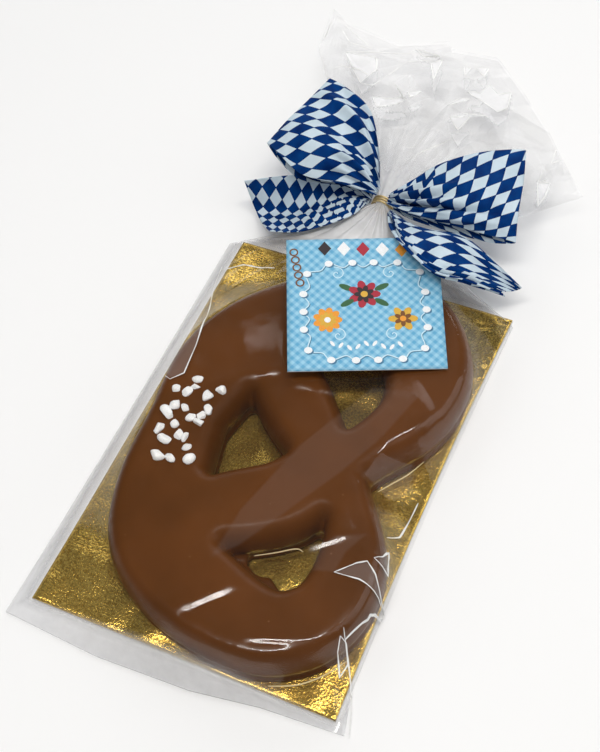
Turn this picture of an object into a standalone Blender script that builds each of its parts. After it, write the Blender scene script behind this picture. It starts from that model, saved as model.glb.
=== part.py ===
"""A pretzel-shaped gingerbread in a clear gathered bag with a bow and a square tag, lying flat.

Sizes are in millimetres and are scaled to metres when each mesh is made. The pack lies on
z = 0 with its shown side up; its long side runs along +Y, from the sealed end to the mouth.
Plan positions are first given from the middle of the board inside the bag and are moved by
PLAN_SHIFT, so that the pack stands over the origin.
"""
import math

import bpy
import bmesh
import numpy as np
from mathutils import kdtree

MM = 0.001
PLAN_SHIFT = (3.68, -53.76)

# Board inside the bag and the pretzel standing on it (only their draped form shows outside).
BOARD_HALF_X = 52.5
BOARD_HALF_Y = 77.5
BOARD_TOP = 1.7
PRETZEL_HEIGHT = 16.0
PRETZEL_EDGE_REACH = 9.0
PRETZEL_EDGE_POWER = 2.4
PRETZEL_CROWN_POWER = 2.2
FILM_LIFT = 0.4
FILM_SLOPE = 4.0

# Middle line of each half of the rope as (x, y, half width), from the belly round to the arm end.
ROPE_UPPER = (
    (-32.3, -3.6, 13.7), (-31.2, 19.6, 17.7), (-24.2, 40.8, 18.4), (-2.3, 54.6, 15.3),
    (20.0, 57.8, 15.9), (35.0, 42.0, 15.5), (36.9, 22.4, 12.4), (28.0, 4.8, 9.9),
    (17.8, -9.1, 12.5), (11.8, -24.0, 15.6), (-6.0, -31.6, 13.5), (-18.6, -40.0, 9.0),
)
ROPE_LOWER = (
    (-32.3, -3.6, 13.7), (-28.7, -28.4, 15.5), (-21.5, -48.0, 15.2), (-1.9, -58.0, 16.8),
    (22.5, -62.4, 14.0), (37.1, -53.3, 12.5), (39.5, -34.4, 11.6), (30.5, -14.7, 8.5),
    (15.2, -0.5, 10.7), (-1.3, 14.6, 13.3), (-14.6, 29.0, 12.6), (-22.1, 42.2, 9.4),
)
ROPE_STEPS = 8
OUTLINE_SIDES = 72
OUTLINE_SLACK = 0.05

# Plan outline of the bag's flat part, with its two lower corners drawn out to points.
SEAL_EDGE = ((-58.5, -84.5), (-24.0, -86.6), (8.0, -85.4), (30.0, -82.0), (56.5, -80.3))
LEFT_EDGE_X = -57.4
LEFT_CORNER_POWER = 4
RIGHT_CORNER_X = 53.6
RIGHT_CORNER_LENGTH = 12.0
RIGHT_WAIST_X = 52.3
SHOULDER_Y = 75.0
EDGE_HEIGHT = 1.6
SEAL_HEIGHT = 0.8
SIDE_THICKNESS = 0.8

# Gathered neck, the shoulder that climbs to it, and its pleats.
NECK = (-7.1, 104.5, 9.7)
NECK_RADIUS = 2.4
NECK_HALF_LENGTH = 1.0
EDGE_CLIMB_POWER = 1.5
UNDERSIDE_CLIMB_POWER = 1.6
SHOULDER_PLEAT = 0.7
SHOULDER_PLEATS = 7.0
UNDERSIDE_PLEAT_SHARE = 0.35

# Flared mouth: pleats near the neck that open into broad bends at the rim.
FLARE_RISE = 3.0
FLARE_GAP = 6.0
MOUTH_GAP = 0.9
FLARE_PLEAT = 1.1
FLARE_PLEATS = 6.0
FLARE_PLEAT_PHASE = 0.6
FLARE_PLEAT_END = 0.7
FLARE_BEND = 2.2
FLARE_BENDS = 1.7
FLARE_BEND_PHASE = 0.9
# Mouth edge as (share across, direction in degrees from +X, distance from the neck).
MOUTH = (
    (-1.0, 131.0, 74.0), (-0.88, 127.0, 90.0), (-0.80, 122.0, 105.0), (-0.70, 119.0, 96.0),
    (-0.45, 107.5, 84.5), (-0.20, 94.5, 86.5), (-0.12, 91.5, 81.5), (0.10, 79.0, 82.0),
    (0.50, 53.0, 70.0), (0.88, 25.0, 70.0), (1.0, 16.0, 52.0),
)

# Mesh density of the bag: columns across, rows along the flat part, the shoulder and the flare.
COLUMNS = 38
BODY_ROWS = 50
SHOULDER_ROWS = 9
FLARE_ROWS = 14
RELAX_STEPS = 260

# Ribbon: woven band with its cross sections as points (x, y, z) from one edge to the other.
RIBBON_THICKNESS = 0.6
LOOP_LEFT = (
    ((-11.9, 108.8, 11.9), (-11.7, 107.2, 12.2), (-11.6, 105.7, 12.1), (-11.7, 104.2, 11.4)),
    ((-15.6, 121.5, 15.6), (-17.7, 115.6, 16.4), (-20.0, 110.0, 16.2), (-22.6, 104.9, 14.2)),
    ((-24.2, 137.0, 17.4), (-29.6, 123.8, 18.6), (-33.6, 111.2, 18.8), (-36.6, 100.0, 17.2)),
    ((-36.0, 143.2, 20.2), (-39.8, 129.5, 20.9), (-43.8, 115.8, 20.8), (-47.4, 104.0, 19.2)),
    ((-45.6, 146.2, 23.0), (-47.8, 132.8, 24.2), (-51.0, 119.6, 24.4), (-54.6, 108.8, 21.8)),
    ((-35.4, 141.2, 25.4), (-37.6, 128.5, 26.0), (-41.5, 113.5, 29.2), (-46.0, 102.4, 24.6)),
    ((-23.6, 134.4, 24.0), (-26.6, 122.5, 24.2), (-31.4, 109.5, 28.4), (-35.4, 98.4, 22.2)),
    ((-14.4, 119.9, 19.6), (-15.8, 114.8, 18.6), (-18.9, 108.6, 21.6), (-21.8, 102.8, 17.4)),
    ((-11.8, 108.4, 13.7), (-11.6, 107.0, 14.1), (-11.5, 105.4, 14.2), (-11.6, 103.8, 13.2)),
)
LOOP_RIGHT = (
    ((-1.6, 107.2, 12.1), (-1.4, 105.0, 12.4), (-1.2, 102.6, 12.6), (-1.2, 100.4, 12.8)),
    ((2.6, 112.6, 14.6), (5.6, 105.4, 16.2), (7.2, 101.0, 15.6), (7.8, 98.4, 13.6)),
    ((10.6, 121.0, 16.8), (17.6, 109.0, 18.6), (22.0, 99.8, 18.0), (26.0, 96.6, 15.0)),
    ((23.4, 129.4, 18.6), (30.0, 114.6, 20.0), (34.0, 101.6, 19.8), (37.4, 95.4, 16.8)),
    ((36.2, 136.0, 22.0), (40.6, 120.4, 23.6), (43.8, 105.6, 23.6), (46.2, 96.2, 19.4)),
    ((23.0, 128.2, 24.4), (29.6, 113.2, 27.0), (33.2, 100.4, 26.8), (36.2, 95.2, 20.8)),
    ((9.8, 120.2, 21.8), (16.8, 107.2, 26.2), (21.0, 98.2, 25.2), (24.6, 96.4, 19.4)),
    ((1.6, 112.2, 18.0), (4.8, 104.4, 20.4), (6.2, 100.2, 19.4), (6.6, 98.2, 16.6)),
    ((-1.8, 107.0, 14.0), (-1.6, 104.8, 14.8), (-1.4, 102.4, 14.9), (-1.3, 100.2, 14.5)),
)
TAIL_LEFT = (
    ((-12.4, 107.4, 9.6), (-12.2, 106.0, 9.1), (-12.2, 104.6, 9.8), (-12.8, 102.6, 11.8)),
    ((-24.6, 107.6, 13.4), (-23.8, 105.8, 7.2), (-18.6, 98.4, 11.4), (-14.6, 92.1, 14.4)),
    ((-40.0, 103.2, 15.5), (-37.2, 97.8, 4.6), (-33.0, 91.0, 6.6), (-28.6, 81.2, 12.6)),
    ((-57.4, 93.0, 16.6), (-53.4, 90.6, 5.0), (-47.6, 84.6, 6.0), (-40.0, 77.2, 12.4)),
)
TAIL_RIGHT = (
    ((-0.4, 98.9, 13.3), (-0.3, 97.7, 13.6), (-0.1, 96.3, 14.1), (0.2, 95.2, 14.2)),
    ((10.2, 96.2, 13.4), (9.2, 91.0, 20.0), (11.6, 78.0, 27.6), (12.6, 78.8, 25.8)),
    ((28.2, 92.2, 20.4), (26.6, 84.0, 25.4), (26.6, 69.6, 28.6), (28.0, 71.0, 24.8)),
    ((43.6, 86.2, 17.8), (40.0, 82.6, 17.6), (37.2, 72.6, 24.0), (38.8, 74.2, 20.6)),
    ((53.3, 83.3, 12.8), (51.2, 82.4, 11.4), (48.2, 76.8, 16.2), (49.2, 77.8, 13.0)),
)
# Steps in each span, across the ribbon and along it.
LOOP_STEPS = (2, 5)
TAIL_STEPS = (3, 7)

# Thin wire tie round the neck.
TIE_WIRE_RADIUS = 0.45
TIE_CLEARANCE = 0.6
TIE_AXIS_DEGREES = 90.0

# Square tag lying tilted over the upper part of the pretzel.
TAG_SIDE = 52.3
TAG_THICKNESS = 0.5
TAG_CENTRE = (8.6, 52.0, 22.7)
TAG_TURN_DEGREES = (4.6, 4.6, 25.0)
TAG_CORNER_RADIUS = 0.6

MATERIALS = {
    "film": ((0.86, 0.88, 0.90, 1.0), 0.12, 0.0),
    "ribbon": ((0.05, 0.22, 0.62, 1.0), 0.75, 0.0),
    "wire": ((0.80, 0.68, 0.38, 1.0), 0.35, 0.8),
    "tag": ((0.45, 0.72, 0.90, 1.0), 0.45, 0.0),
}


def make_material(name):
    colour, roughness, metallic = MATERIALS[name]
    material = bpy.data.materials.new(name)
    material.use_nodes = True
    shader = material.node_tree.nodes["Principled BSDF"]
    shader.inputs["Base Color"].default_value = colour
    shader.inputs["Roughness"].default_value = roughness
    shader.inputs["Metallic"].default_value = metallic
    return material


def smooth_line(points, steps):
    """Catmull-Rom curve through the points, with the given steps in each span."""
    points = np.asarray(points, float)
    last = len(points) - 1
    line = []
    for i in range(last):
        before, here = points[max(i - 1, 0)], points[i]
        there, after = points[i + 1], points[min(i + 2, last)]
        for t in np.linspace(0.0, 1.0, steps, endpoint=False):
            line.append(0.5 * (2.0 * here + (there - before) * t
                               + (2.0 * before - 5.0 * here + 4.0 * there - after) * t * t
                               + (3.0 * here - before - 3.0 * there + after) * t ** 3))
    line.append(points[last])
    return np.array(line)


def pretzel_outline(discs):
    """Points on the outer edge and the hole edges of the discs (x, y, radius) taken together."""
    angles = np.linspace(0.0, 2.0 * math.pi, OUTLINE_SIDES, endpoint=False)
    ring = np.stack([np.cos(angles), np.sin(angles)], 1)
    points = (discs[:, None, :2] + discs[:, None, 2:] * ring).reshape(-1, 2)
    return points[depth_in_discs(points, discs) < OUTLINE_SLACK]


def depth_in_discs(points, discs):
    """How far each point lies inside the deepest disc round it, below zero outside them all."""
    away = np.linalg.norm(points[:, None] - discs[:, :2], axis=2)
    return (discs[:, 2] - away).max(1)


def pretzel_height(x, y):
    """Height of the pretzel above the board at plan points: flat with rounded edges, zero beside it."""
    discs = np.concatenate([smooth_line(half, ROPE_STEPS) for half in (ROPE_UPPER, ROPE_LOWER)])
    outline = pretzel_outline(discs)
    edge = kdtree.KDTree(len(outline))
    for index, (px, py) in enumerate(outline):
        edge.insert((px, py, 0.0), index)
    edge.balance()
    points = np.stack([x.ravel(), y.ravel()], 1)
    inside = np.array([edge.find((px, py, 0.0))[2] for px, py in points])
    slope = np.clip(1.0 - inside / PRETZEL_EDGE_REACH, 0.0, 1.0)
    height = PRETZEL_HEIGHT * (1.0 - slope ** PRETZEL_EDGE_POWER) ** (1.0 / PRETZEL_CROWN_POWER)
    return np.where(depth_in_discs(points, discs) > 0.0, height, 0.0).reshape(x.shape)


def right_edge(y):
    """Right side of the flat part, drawn in at the middle of its length."""
    share = np.clip((y + BOARD_HALF_Y) / (2.0 * BOARD_HALF_Y), 0.0, 1.0)
    inset = (RIGHT_CORNER_X - RIGHT_WAIST_X) * np.sin(math.pi * share)
    seal_x, seal_y = SEAL_EDGE[-1]
    corner = (seal_x - RIGHT_CORNER_X) * np.clip(1.0 - (y - seal_y) / RIGHT_CORNER_LENGTH, 0.0, 1.0)
    return RIGHT_CORNER_X - inset + corner


def neck_line(side, length):
    """Plan points across the neck, for shares of -1 to 1, at a distance along +Y from its middle."""
    return np.stack([NECK[0] + NECK_RADIUS * np.sin(side * math.pi / 2.0),
                     np.full(len(side), NECK[1] + length)], 1)


def flat_plan(side):
    """Plan points of the flat part and the shoulder, rows from the seal to the neck."""
    across = (side + 1.0) / 2.0
    seal_x, seal_y = np.array(SEAL_EDGE).T
    start_x = seal_x[0] + (seal_x[-1] - seal_x[0]) * across
    start_y = np.interp(start_x, seal_x, seal_y)
    rows = []
    for share in np.linspace(0.0, 1.0, BODY_ROWS + 1):
        y = start_y + (SHOULDER_Y - start_y) * share
        left = LEFT_EDGE_X + (seal_x[0] - LEFT_EDGE_X) * (1.0 - share) ** LEFT_CORNER_POWER
        rows.append(np.stack([left + (right_edge(y) - left) * across, y], 1))
    shoulder, neck = rows[-1], neck_line(side, -NECK_HALF_LENGTH)
    for share in np.linspace(0.0, 1.0, SHOULDER_ROWS + 1)[1:]:
        rows.append(shoulder + (neck - shoulder) * share)
    return np.array(rows)


def flare_plan(side):
    """Plan points of the flared mouth, rows from the neck outwards."""
    shares, angles, reach = np.array(MOUTH).T
    angle = np.radians(np.interp(side, shares, angles))
    way = np.interp(side, shares, reach)[:, None] * np.stack([np.cos(angle), np.sin(angle)], 1)
    start = neck_line(side, NECK_HALF_LENGTH)
    return np.array([start + way * share for share in np.linspace(0.0, 1.0, FLARE_ROWS + 1)])


def taut_height(plan, neck_top):
    """Height of film drawn over the pretzel and the board: each free point settles between its neighbours."""
    x, y = plan[..., 0], plan[..., 1]
    past_board = np.maximum(np.abs(x) - BOARD_HALF_X, np.abs(y) - BOARD_HALF_Y)
    board = BOARD_TOP * np.clip(1.0 - past_board / FILM_SLOPE, 0.0, 1.0)
    rope = pretzel_height(x, y)
    obstacle = FILM_LIFT + np.maximum(board, np.where(rope > 0.0, BOARD_TOP + rope, 0.0))
    climb = np.clip((np.arange(len(plan)) - BODY_ROWS) / SHOULDER_ROWS, 0.0, 1.0) ** EDGE_CLIMB_POWER
    edge = EDGE_HEIGHT + (neck_top[0] - EDGE_HEIGHT) * climb
    top = obstacle.copy()
    for _ in range(RELAX_STEPS):
        mean = (top[2:, 1:-1] + top[:-2, 1:-1] + top[1:-1, 2:] + top[1:-1, :-2]) / 4.0
        top[1:-1, 1:-1] = np.maximum(obstacle[1:-1, 1:-1], mean)
        top[:, 0] = top[:, -1] = edge
        top[-1] = neck_top
        top[0] = SEAL_HEIGHT
    return top


def flat_heights(plan, side):
    """Top and bottom heights of the flat part and the shoulder."""
    round_neck = NECK_RADIUS * np.sqrt(1.0 - side ** 2) + SIDE_THICKNESS / 2.0
    top = taut_height(plan, NECK[2] + round_neck)
    rows_in = np.clip((np.arange(len(plan)) - BODY_ROWS) / SHOULDER_ROWS, 0.0, 1.0)[:, None]
    pleat = np.cos(side * math.pi * SHOULDER_PLEATS) * (1.0 - np.abs(side) ** 6)
    swell = SHOULDER_PLEAT * np.sin(math.pi * rows_in) * pleat
    bottom = (NECK[2] - round_neck) * rows_in ** UNDERSIDE_CLIMB_POWER
    bottom = np.maximum(bottom + UNDERSIDE_PLEAT_SHARE * swell * rows_in, 0.0)
    return np.maximum(top + swell, bottom + SIDE_THICKNESS), bottom


def flare_heights(side):
    """Top and bottom heights of the flared mouth."""
    out = np.linspace(0.0, 1.0, FLARE_ROWS + 1)[:, None]
    gather = np.sin(math.pi * np.minimum(out / FLARE_PLEAT_END, 1.0))
    pleats = FLARE_PLEAT * gather * np.sin(side * math.pi * FLARE_PLEATS + FLARE_PLEAT_PHASE)
    bends = FLARE_BEND * out * np.sin(side * math.pi * FLARE_BENDS + FLARE_BEND_PHASE)
    middle = NECK[2] + FLARE_RISE * out + pleats + bends
    belly = NECK_RADIUS * (1.0 - out) ** 2 + FLARE_GAP * out * np.sin(math.pi * out) + MOUTH_GAP * out
    half = belly * np.sqrt(1.0 - side ** 2) + SIDE_THICKNESS / 2.0
    return middle + half, middle - half


def closed_object(name, coords, faces, material):
    """Mesh object from points in millimetres, faces turned outwards."""
    mesh = bpy.data.meshes.new(name)
    points = [((px + PLAN_SHIFT[0]) * MM, (py + PLAN_SHIFT[1]) * MM, pz * MM) for px, py, pz in coords]
    mesh.from_pydata(points, [], faces)
    shell = bmesh.new()
    shell.from_mesh(mesh)
    bmesh.ops.recalc_face_normals(shell, faces=shell.faces)
    shell.to_mesh(mesh)
    shell.free()
    mesh.materials.append(material)
    part = bpy.data.objects.new(name, mesh)
    part_collection.objects.link(part)
    return part


def grid_solid(name, lower, upper, material, flat_rows=0):
    """Closed solid between two grids of points; the first flat_rows rows of the lower one are one face."""
    rows, columns = upper.shape[:2]
    coords = [tuple(p) for p in upper.reshape(-1, 3)] + [tuple(p) for p in lower.reshape(-1, 3)]
    offset = rows * columns
    faces = []
    for i in range(rows - 1):
        for j in range(columns - 1):
            a, b = i * columns + j, i * columns + j + 1
            c, d = (i + 1) * columns + j + 1, (i + 1) * columns + j
            faces.append((a, b, c, d))
            if i >= flat_rows:
                faces.append((offset + d, offset + c, offset + b, offset + a))
    for i in range(rows - 1):
        a, d = i * columns, (i + 1) * columns
        faces.append((a, d, offset + d, offset + a))
        b, c = a + columns - 1, d + columns - 1
        faces.append((c, b, offset + b, offset + c))
    last = (rows - 1) * columns
    for j in range(columns - 1):
        faces.append((j + 1, j, offset + j, offset + j + 1))
        faces.append((last + j, last + j + 1, offset + last + j + 1, offset + last + j))
    if flat_rows:
        ring = [offset + j for j in range(columns)]
        ring += [offset + i * columns + columns - 1 for i in range(1, flat_rows + 1)]
        ring += [offset + flat_rows * columns + j for j in range(columns - 2, -1, -1)]
        ring += [offset + i * columns for i in range(flat_rows - 1, 0, -1)]
        faces.append(tuple(ring))
    used = sorted({i for face in faces for i in face})
    new_index = {old: new for new, old in enumerate(used)}
    coords = [coords[i] for i in used]
    faces = [tuple(new_index[i] for i in face) for face in faces]
    return closed_object(name, coords, faces, material)


def band_solid(name, sections, steps, material):
    """Thin closed band lofted through cross sections, with an even thickness across it."""
    across_steps, along_steps = steps
    sections = np.array(sections, float)
    lines = np.array([smooth_line(sections[:, k], along_steps) for k in range(sections.shape[1])])
    middle = np.array([smooth_line(lines[:, i], across_steps) for i in range(lines.shape[1])])
    along = np.gradient(middle, axis=0)
    across = np.gradient(middle, axis=1)
    normal = np.cross(along, across)
    normal /= np.linalg.norm(normal, axis=2)[..., None]
    reach = normal * RIBBON_THICKNESS / 2.0
    return grid_solid(name, middle - reach, middle + reach, material)


def build_bag(material):
    """Bag with all that is in it, from the seal over the pretzel and through the neck to the mouth."""
    side = np.linspace(-1.0, 1.0, COLUMNS + 1)
    flat, flare = flat_plan(side), flare_plan(side)
    flat_top, flat_bottom = flat_heights(flat, side)
    flare_top, flare_bottom = flare_heights(side)
    plan = np.concatenate([flat, flare])
    upper = np.dstack([plan, np.concatenate([flat_top, flare_top])])
    lower = np.dstack([plan, np.concatenate([flat_bottom, flare_bottom])])
    return grid_solid("clear_bag", lower, upper, material, flat_rows=BODY_ROWS)


def build_tie(material):
    """Ring of wire round the neck."""
    bpy.ops.mesh.primitive_torus_add(
        major_segments=24, minor_segments=8,
        major_radius=(NECK_RADIUS + SIDE_THICKNESS / 2.0 + TIE_CLEARANCE + TIE_WIRE_RADIUS) * MM,
        minor_radius=TIE_WIRE_RADIUS * MM,
        location=((NECK[0] + PLAN_SHIFT[0]) * MM, (NECK[1] + PLAN_SHIFT[1]) * MM, NECK[2] * MM),
        rotation=(math.radians(TIE_AXIS_DEGREES), 0.0, 0.0))
    tie = bpy.context.active_object
    tie.name = tie.data.name = "neck_tie"
    tie.data.materials.append(material)
    for collection in list(tie.users_collection):
        collection.objects.unlink(tie)
    part_collection.objects.link(tie)
    return tie


def build_tag(material):
    """Square card with its sheet tilted about its middle."""
    bpy.ops.mesh.primitive_cube_add(size=1.0)
    tag = bpy.context.active_object
    tag.name = tag.data.name = "square_tag"
    tag.scale = (TAG_SIDE * MM, TAG_SIDE * MM, TAG_THICKNESS * MM)
    bpy.ops.object.transform_apply(location=False, rotation=False, scale=True)
    shell = bmesh.new()
    shell.from_mesh(tag.data)
    upright = [e for e in shell.edges if abs(e.verts[0].co.z - e.verts[1].co.z) > TAG_THICKNESS * MM / 2.0]
    bmesh.ops.bevel(shell, geom=upright, offset=TAG_CORNER_RADIUS * MM, segments=3, profile=0.5,
                    affect="EDGES")
    shell.to_mesh(tag.data)
    shell.free()
    tag.rotation_euler = [math.radians(a) for a in TAG_TURN_DEGREES]
    tag.location = ((TAG_CENTRE[0] + PLAN_SHIFT[0]) * MM, (TAG_CENTRE[1] + PLAN_SHIFT[1]) * MM,
                    TAG_CENTRE[2] * MM)
    tag.data.materials.append(material)
    for collection in list(tag.users_collection):
        collection.objects.unlink(tag)
    part_collection.objects.link(tag)
    return tag


for old in list(bpy.data.objects):
    bpy.data.objects.remove(old, do_unlink=True)
part_collection = bpy.data.collections.new("bagged_pretzel")
bpy.context.scene.collection.children.link(part_collection)

film = make_material("film")
ribbon = make_material("ribbon")
build_bag(film)
band_solid("ribbon_loop_left", LOOP_LEFT, LOOP_STEPS, ribbon)
band_solid("ribbon_loop_right", LOOP_RIGHT, LOOP_STEPS, ribbon)
band_solid("ribbon_tail_left", TAIL_LEFT, TAIL_STEPS, ribbon)
band_solid("ribbon_tail_right", TAIL_RIGHT, TAIL_STEPS, ribbon)
build_tie(make_material("wire"))
build_tag(make_material("tag"))
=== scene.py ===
"""Looks of a pretzel-shaped gingerbread on a gold board in a clear gathered bag with a bow and a tag.

Lengths are in millimetres. Plan positions are from the middle of the board and heights from
the surface that the pack lies on; add_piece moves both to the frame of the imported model, which
the materials' object coordinates are in. Colours are linear (red, green, blue), and a pair holds
the two tones that a material mixes.
"""
import math

import bmesh
import bpy
import numpy as np
from mathutils import Euler, Matrix, Vector, geometry, kdtree, noise
from mathutils.bvhtree import BVHTree


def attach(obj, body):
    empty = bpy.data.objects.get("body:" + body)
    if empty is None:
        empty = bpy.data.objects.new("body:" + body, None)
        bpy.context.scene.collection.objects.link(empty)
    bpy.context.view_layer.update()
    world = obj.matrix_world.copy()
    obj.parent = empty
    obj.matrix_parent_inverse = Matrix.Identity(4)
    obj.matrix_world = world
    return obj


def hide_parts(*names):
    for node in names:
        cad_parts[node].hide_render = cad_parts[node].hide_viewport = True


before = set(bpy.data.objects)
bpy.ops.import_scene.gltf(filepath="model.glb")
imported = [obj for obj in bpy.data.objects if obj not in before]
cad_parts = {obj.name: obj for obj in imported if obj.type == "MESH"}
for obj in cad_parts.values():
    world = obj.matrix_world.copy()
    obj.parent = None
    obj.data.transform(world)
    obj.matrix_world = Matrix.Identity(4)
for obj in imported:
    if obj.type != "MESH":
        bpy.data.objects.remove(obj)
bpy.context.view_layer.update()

MM = 0.001
PLAN_SHIFT = (3.68, -53.76)
FAR_AWAY = 9.0

# Board; its foil is calm beyond the second of each pair of places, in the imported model's frame.
BOARD_HALF_X = 52.5
BOARD_HALF_Y = 77.5
BOARD_BOTTOM = 0.25
BOARD_TOP = 1.7
BOARD_WAIST = 1.5
BOARD_STEP = 0.9
BOARD_SAG = 0.3
# Waves of the board's face as (height, rate in x, rate in y, phase).
BOARD_WAVES = ((0.144, 0.11, 0.05, 0.0), (0.112, -0.04, 0.09, 1.0))
EDGE_ROUND = 0.8
EDGE_DROP = 0.25
BOARD_CARD = ((0.62, 0.60, 0.55), (0.6944, 0.672, 0.616))
GOLD = ((0.46, 0.262, 0.033), (1.0, 0.70, 0.165))
CALM_FOIL_X = (34.0, 42.0)
CALM_FOIL_Y = (-12.0, -2.0)

# Pretzel: its rounded edge, and the middle line of each half of its rope as (x, y, half width)
# from the belly round to the arm end.
PRETZEL_HEIGHT = 16.0
PRETZEL_BOTTOM = BOARD_TOP + 0.05
PRETZEL_EDGE_REACH = 6.5
PRETZEL_EDGE_POWER = 2.4
PRETZEL_CROWN_POWER = 2.5
ROPE_UPPER = (
    (-32.3, -3.6, 13.7), (-30.5, 19.3, 17.0), (-22.4, 38.5, 15.5), (-2.3, 54.6, 15.3),
    (20.0, 57.8, 15.9), (35.0, 42.0, 15.5), (36.9, 22.4, 12.4), (28.0, 4.8, 9.9),
    (17.8, -9.1, 12.5), (10.0, -21.6, 14.6), (-6.0, -31.6, 13.5), (-18.6, -40.0, 9.0),
)
ROPE_LOWER = (
    (-32.3, -3.6, 13.7), (-28.7, -28.4, 15.5), (-21.5, -48.0, 15.2), (-2.6, -58.4, 16.0),
    (22.7, -63.0, 13.6), (37.1, -53.3, 12.5), (39.5, -34.4, 11.6), (30.5, -14.7, 8.5),
    (15.2, -0.5, 10.7), (-1.3, 14.6, 13.3), (-14.6, 29.0, 12.6), (-22.1, 42.2, 9.4),
)
# Outline of the chocolate that ran into a hole.
POOL = (
    (5.6, -40.6), (10.4, -43.8), (13.4, -44.4), (15.9, -43.0), (18.5, -44.9), (21.1, -46.8), (26.2, -47.3),
    (31.0, -52.0), (20.0, -58.0), (6.0, -54.0), (0.0, -46.0),
)
POOL_DEPTH = 2.6
FOOT_HEIGHT = 5.5
FOOT_TUCK = 1.5
FOOT_EDGE = 1.4
FILL_DEPTH = 0.8
FILL_FACING = -0.3
# Swells of the coating as (height, rate, shift).
SWELLS = ((0.35, 0.045, (0.0, 0.0, 0.0)), (0.12, 0.16, (7.0, 3.0, 1.0)))
ROPE_STEPS = 8
ROPE_SIDES = 31
ROPE_CAP_STEPS = 7
ROPE_TIP = 0.02
ROPE_VOXEL = 0.8
WELD_SOFTEN_STEPS = 6
COAT_SOFTEN_STEPS = 8
OUTLINE_SIDES = 72
OUTLINE_SLACK = 0.05
CHOCOLATE = ((0.090, 0.0270, 0.0015), (0.124, 0.038, 0.0045))
CHOCOLATE_PIT = (0.22, 0.10, 0.045)

# Sugar nibs on the belly as (x, y, length, width, turn in degrees), each cut by random planes.
NIBS = (
    (-32.9, 7.2, 4.6, 3.6, 20), (-38.0, 1.1, 3.9, 3.4, 40), (-34.0, 1.3, 5.0, 3.4, 70),
    (-32.3, 4.0, 4.2, 2.9, 5), (-23.5, 5.7, 4.4, 3.9, 50), (-26.7, 2.4, 5.6, 4.0, 95),
    (-35.4, -4.7, 5.0, 3.9, 70), (-31.7, -4.5, 4.0, 3.0, 150), (-36.2, -8.4, 8.0, 4.4, 150),
    (-28.6, -7.1, 4.2, 3.8, 30), (-24.8, -8.1, 5.0, 3.4, 160), (-24.2, -2.5, 4.6, 3.4, 130),
    (-25.4, -5.3, 4.0, 3.2, 120), (-32.0, -11.2, 3.9, 3.3, 60), (-36.2, -14.5, 5.6, 3.6, 80),
    (-32.7, -17.6, 5.8, 3.9, 170), (-29.0, -14.6, 4.6, 3.4, 100), (-26.6, -14.7, 4.2, 2.7, 90),
    (-24.6, -17.7, 3.9, 3.2, 30), (-32.0, -23.8, 6.2, 4.6, 15), (-27.6, -23.2, 5.0, 3.2, 150),
    (-21.6, -21.4, 5.0, 4.0, 60),
)
NIB_SEED = 11
NIB_RISE = 0.15
NIB_SIZE = 0.82
NIB_FLATNESS = 0.6
NIB_PLANES = 7
NIB_REACH = (0.62, 0.95)
NIB_FACING = 0.05
NIB_LONGEST = 1.15
NIB_SHARPNESS = 45.0
NIB_ROUGHNESS = 0.04
NIB_ROUGH_RATE = 2.5
SUGAR = ((0.86, 0.85, 0.83), (0.96, 0.955, 0.945))

# Clear bag: plan outline, neck and mouth; each corner of the mouth as (share across, x, y).
SEAL_EDGE = ((-58.5, -84.5), (-24.0, -86.6), (8.0, -85.4), (30.0, -82.0), (56.5, -80.3))
SEAL_SPREAD = 12.0
SEAL_FLAT_Y = -84.0
SEAL_FLAT_FADE = 3.0
LEFT_EDGE_X = -57.4
RIGHT_CORNER_X = 53.6
RIGHT_WAIST_X = 52.3
SHOULDER_Y = 75.0
NECK = (-7.1, 104.5, 9.7)
NECK_RADIUS = 2.4
NECK_HALF_LENGTH = 1.0
MOUTH = (
    (-1.0, -53.6, 157.3), (-0.94, -61.6, 169.7), (-0.85, -65.4, 193.5), (-0.75, -55.6, 187.2),
    (-0.50, -32.2, 183.7), (-0.25, -13.9, 190.3), (-0.20, -10.9, 185.9), (0.05, 8.3, 185.7),
    (0.45, 36.6, 158.3), (0.86, 60.0, 130.7), (1.0, 42.7, 113.5),
)
FILM_COLUMNS = 170
FILM_BODY_ROWS = 230
FILM_SHOULDER_ROWS = 60
FILM_FLARE_ROWS = 110
COARSE_SHARE = 5
COARSE_RELAX_STEPS = 260
FINE_RELAX_STEPS = 60

# Heights of the film over what is under it, and gaps between its two layers.
FILM_LIFT = 0.35
FILM_OUTSET = 0.8
ROPE_LIFT = 0.55
NIB_COVER = 0.75
NIB_COVER_REACH = 2.0
NIB_COVER_FADE = 10.0
FILM_EDGE_HEIGHT = 0.9
FILM_FLOOR = 0.08
LAYER_GAP = 0.15
FLARE_LAYER_GAP = 0.1
MOUTH_GAP = 0.9

# Random folds as (count, middle, spread, half lengths, widths, heights, wobble from the neck's way).
CREASE_SEED = 5
BODY_FOLDS = (24, (0.0, -5.0), (50.0, 70.0), (8.0, 26.0), (2.0, 5.0), (0.05, 0.18))
SHOULDER_FOLDS = (46, (0.0, 76.0), (50.0, 24.0), (8.0, 34.0), (1.2, 3.6), (0.2, 0.6), 0.12)
FLARE_FOLDS = (26, (4.0, 126.0), (36.0, 28.0), (10.0, 26.0), (1.5, 4.0), (-0.35, 0.4), 0.2)
FOLD_BACK = 2.2
GATHERS = 6.5
GATHER_TOP = 1.6
GATHER_LOW = 0.6
GATHER_CLIMB = 1.6
FLARE_RISE = 3.0
FLARE_GAP = 6.0
FLARE_PLEAT = 1.1
FLARE_PLEATS = 6.0
FLARE_BEND = 1.2
FLARE_BENDS = 1.7
FLARE_POINTS = 60
FLARE_MARGIN = 5.0
FLARE_BUCKLE = 0.75
FLARE_TONES = 0.04

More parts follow.
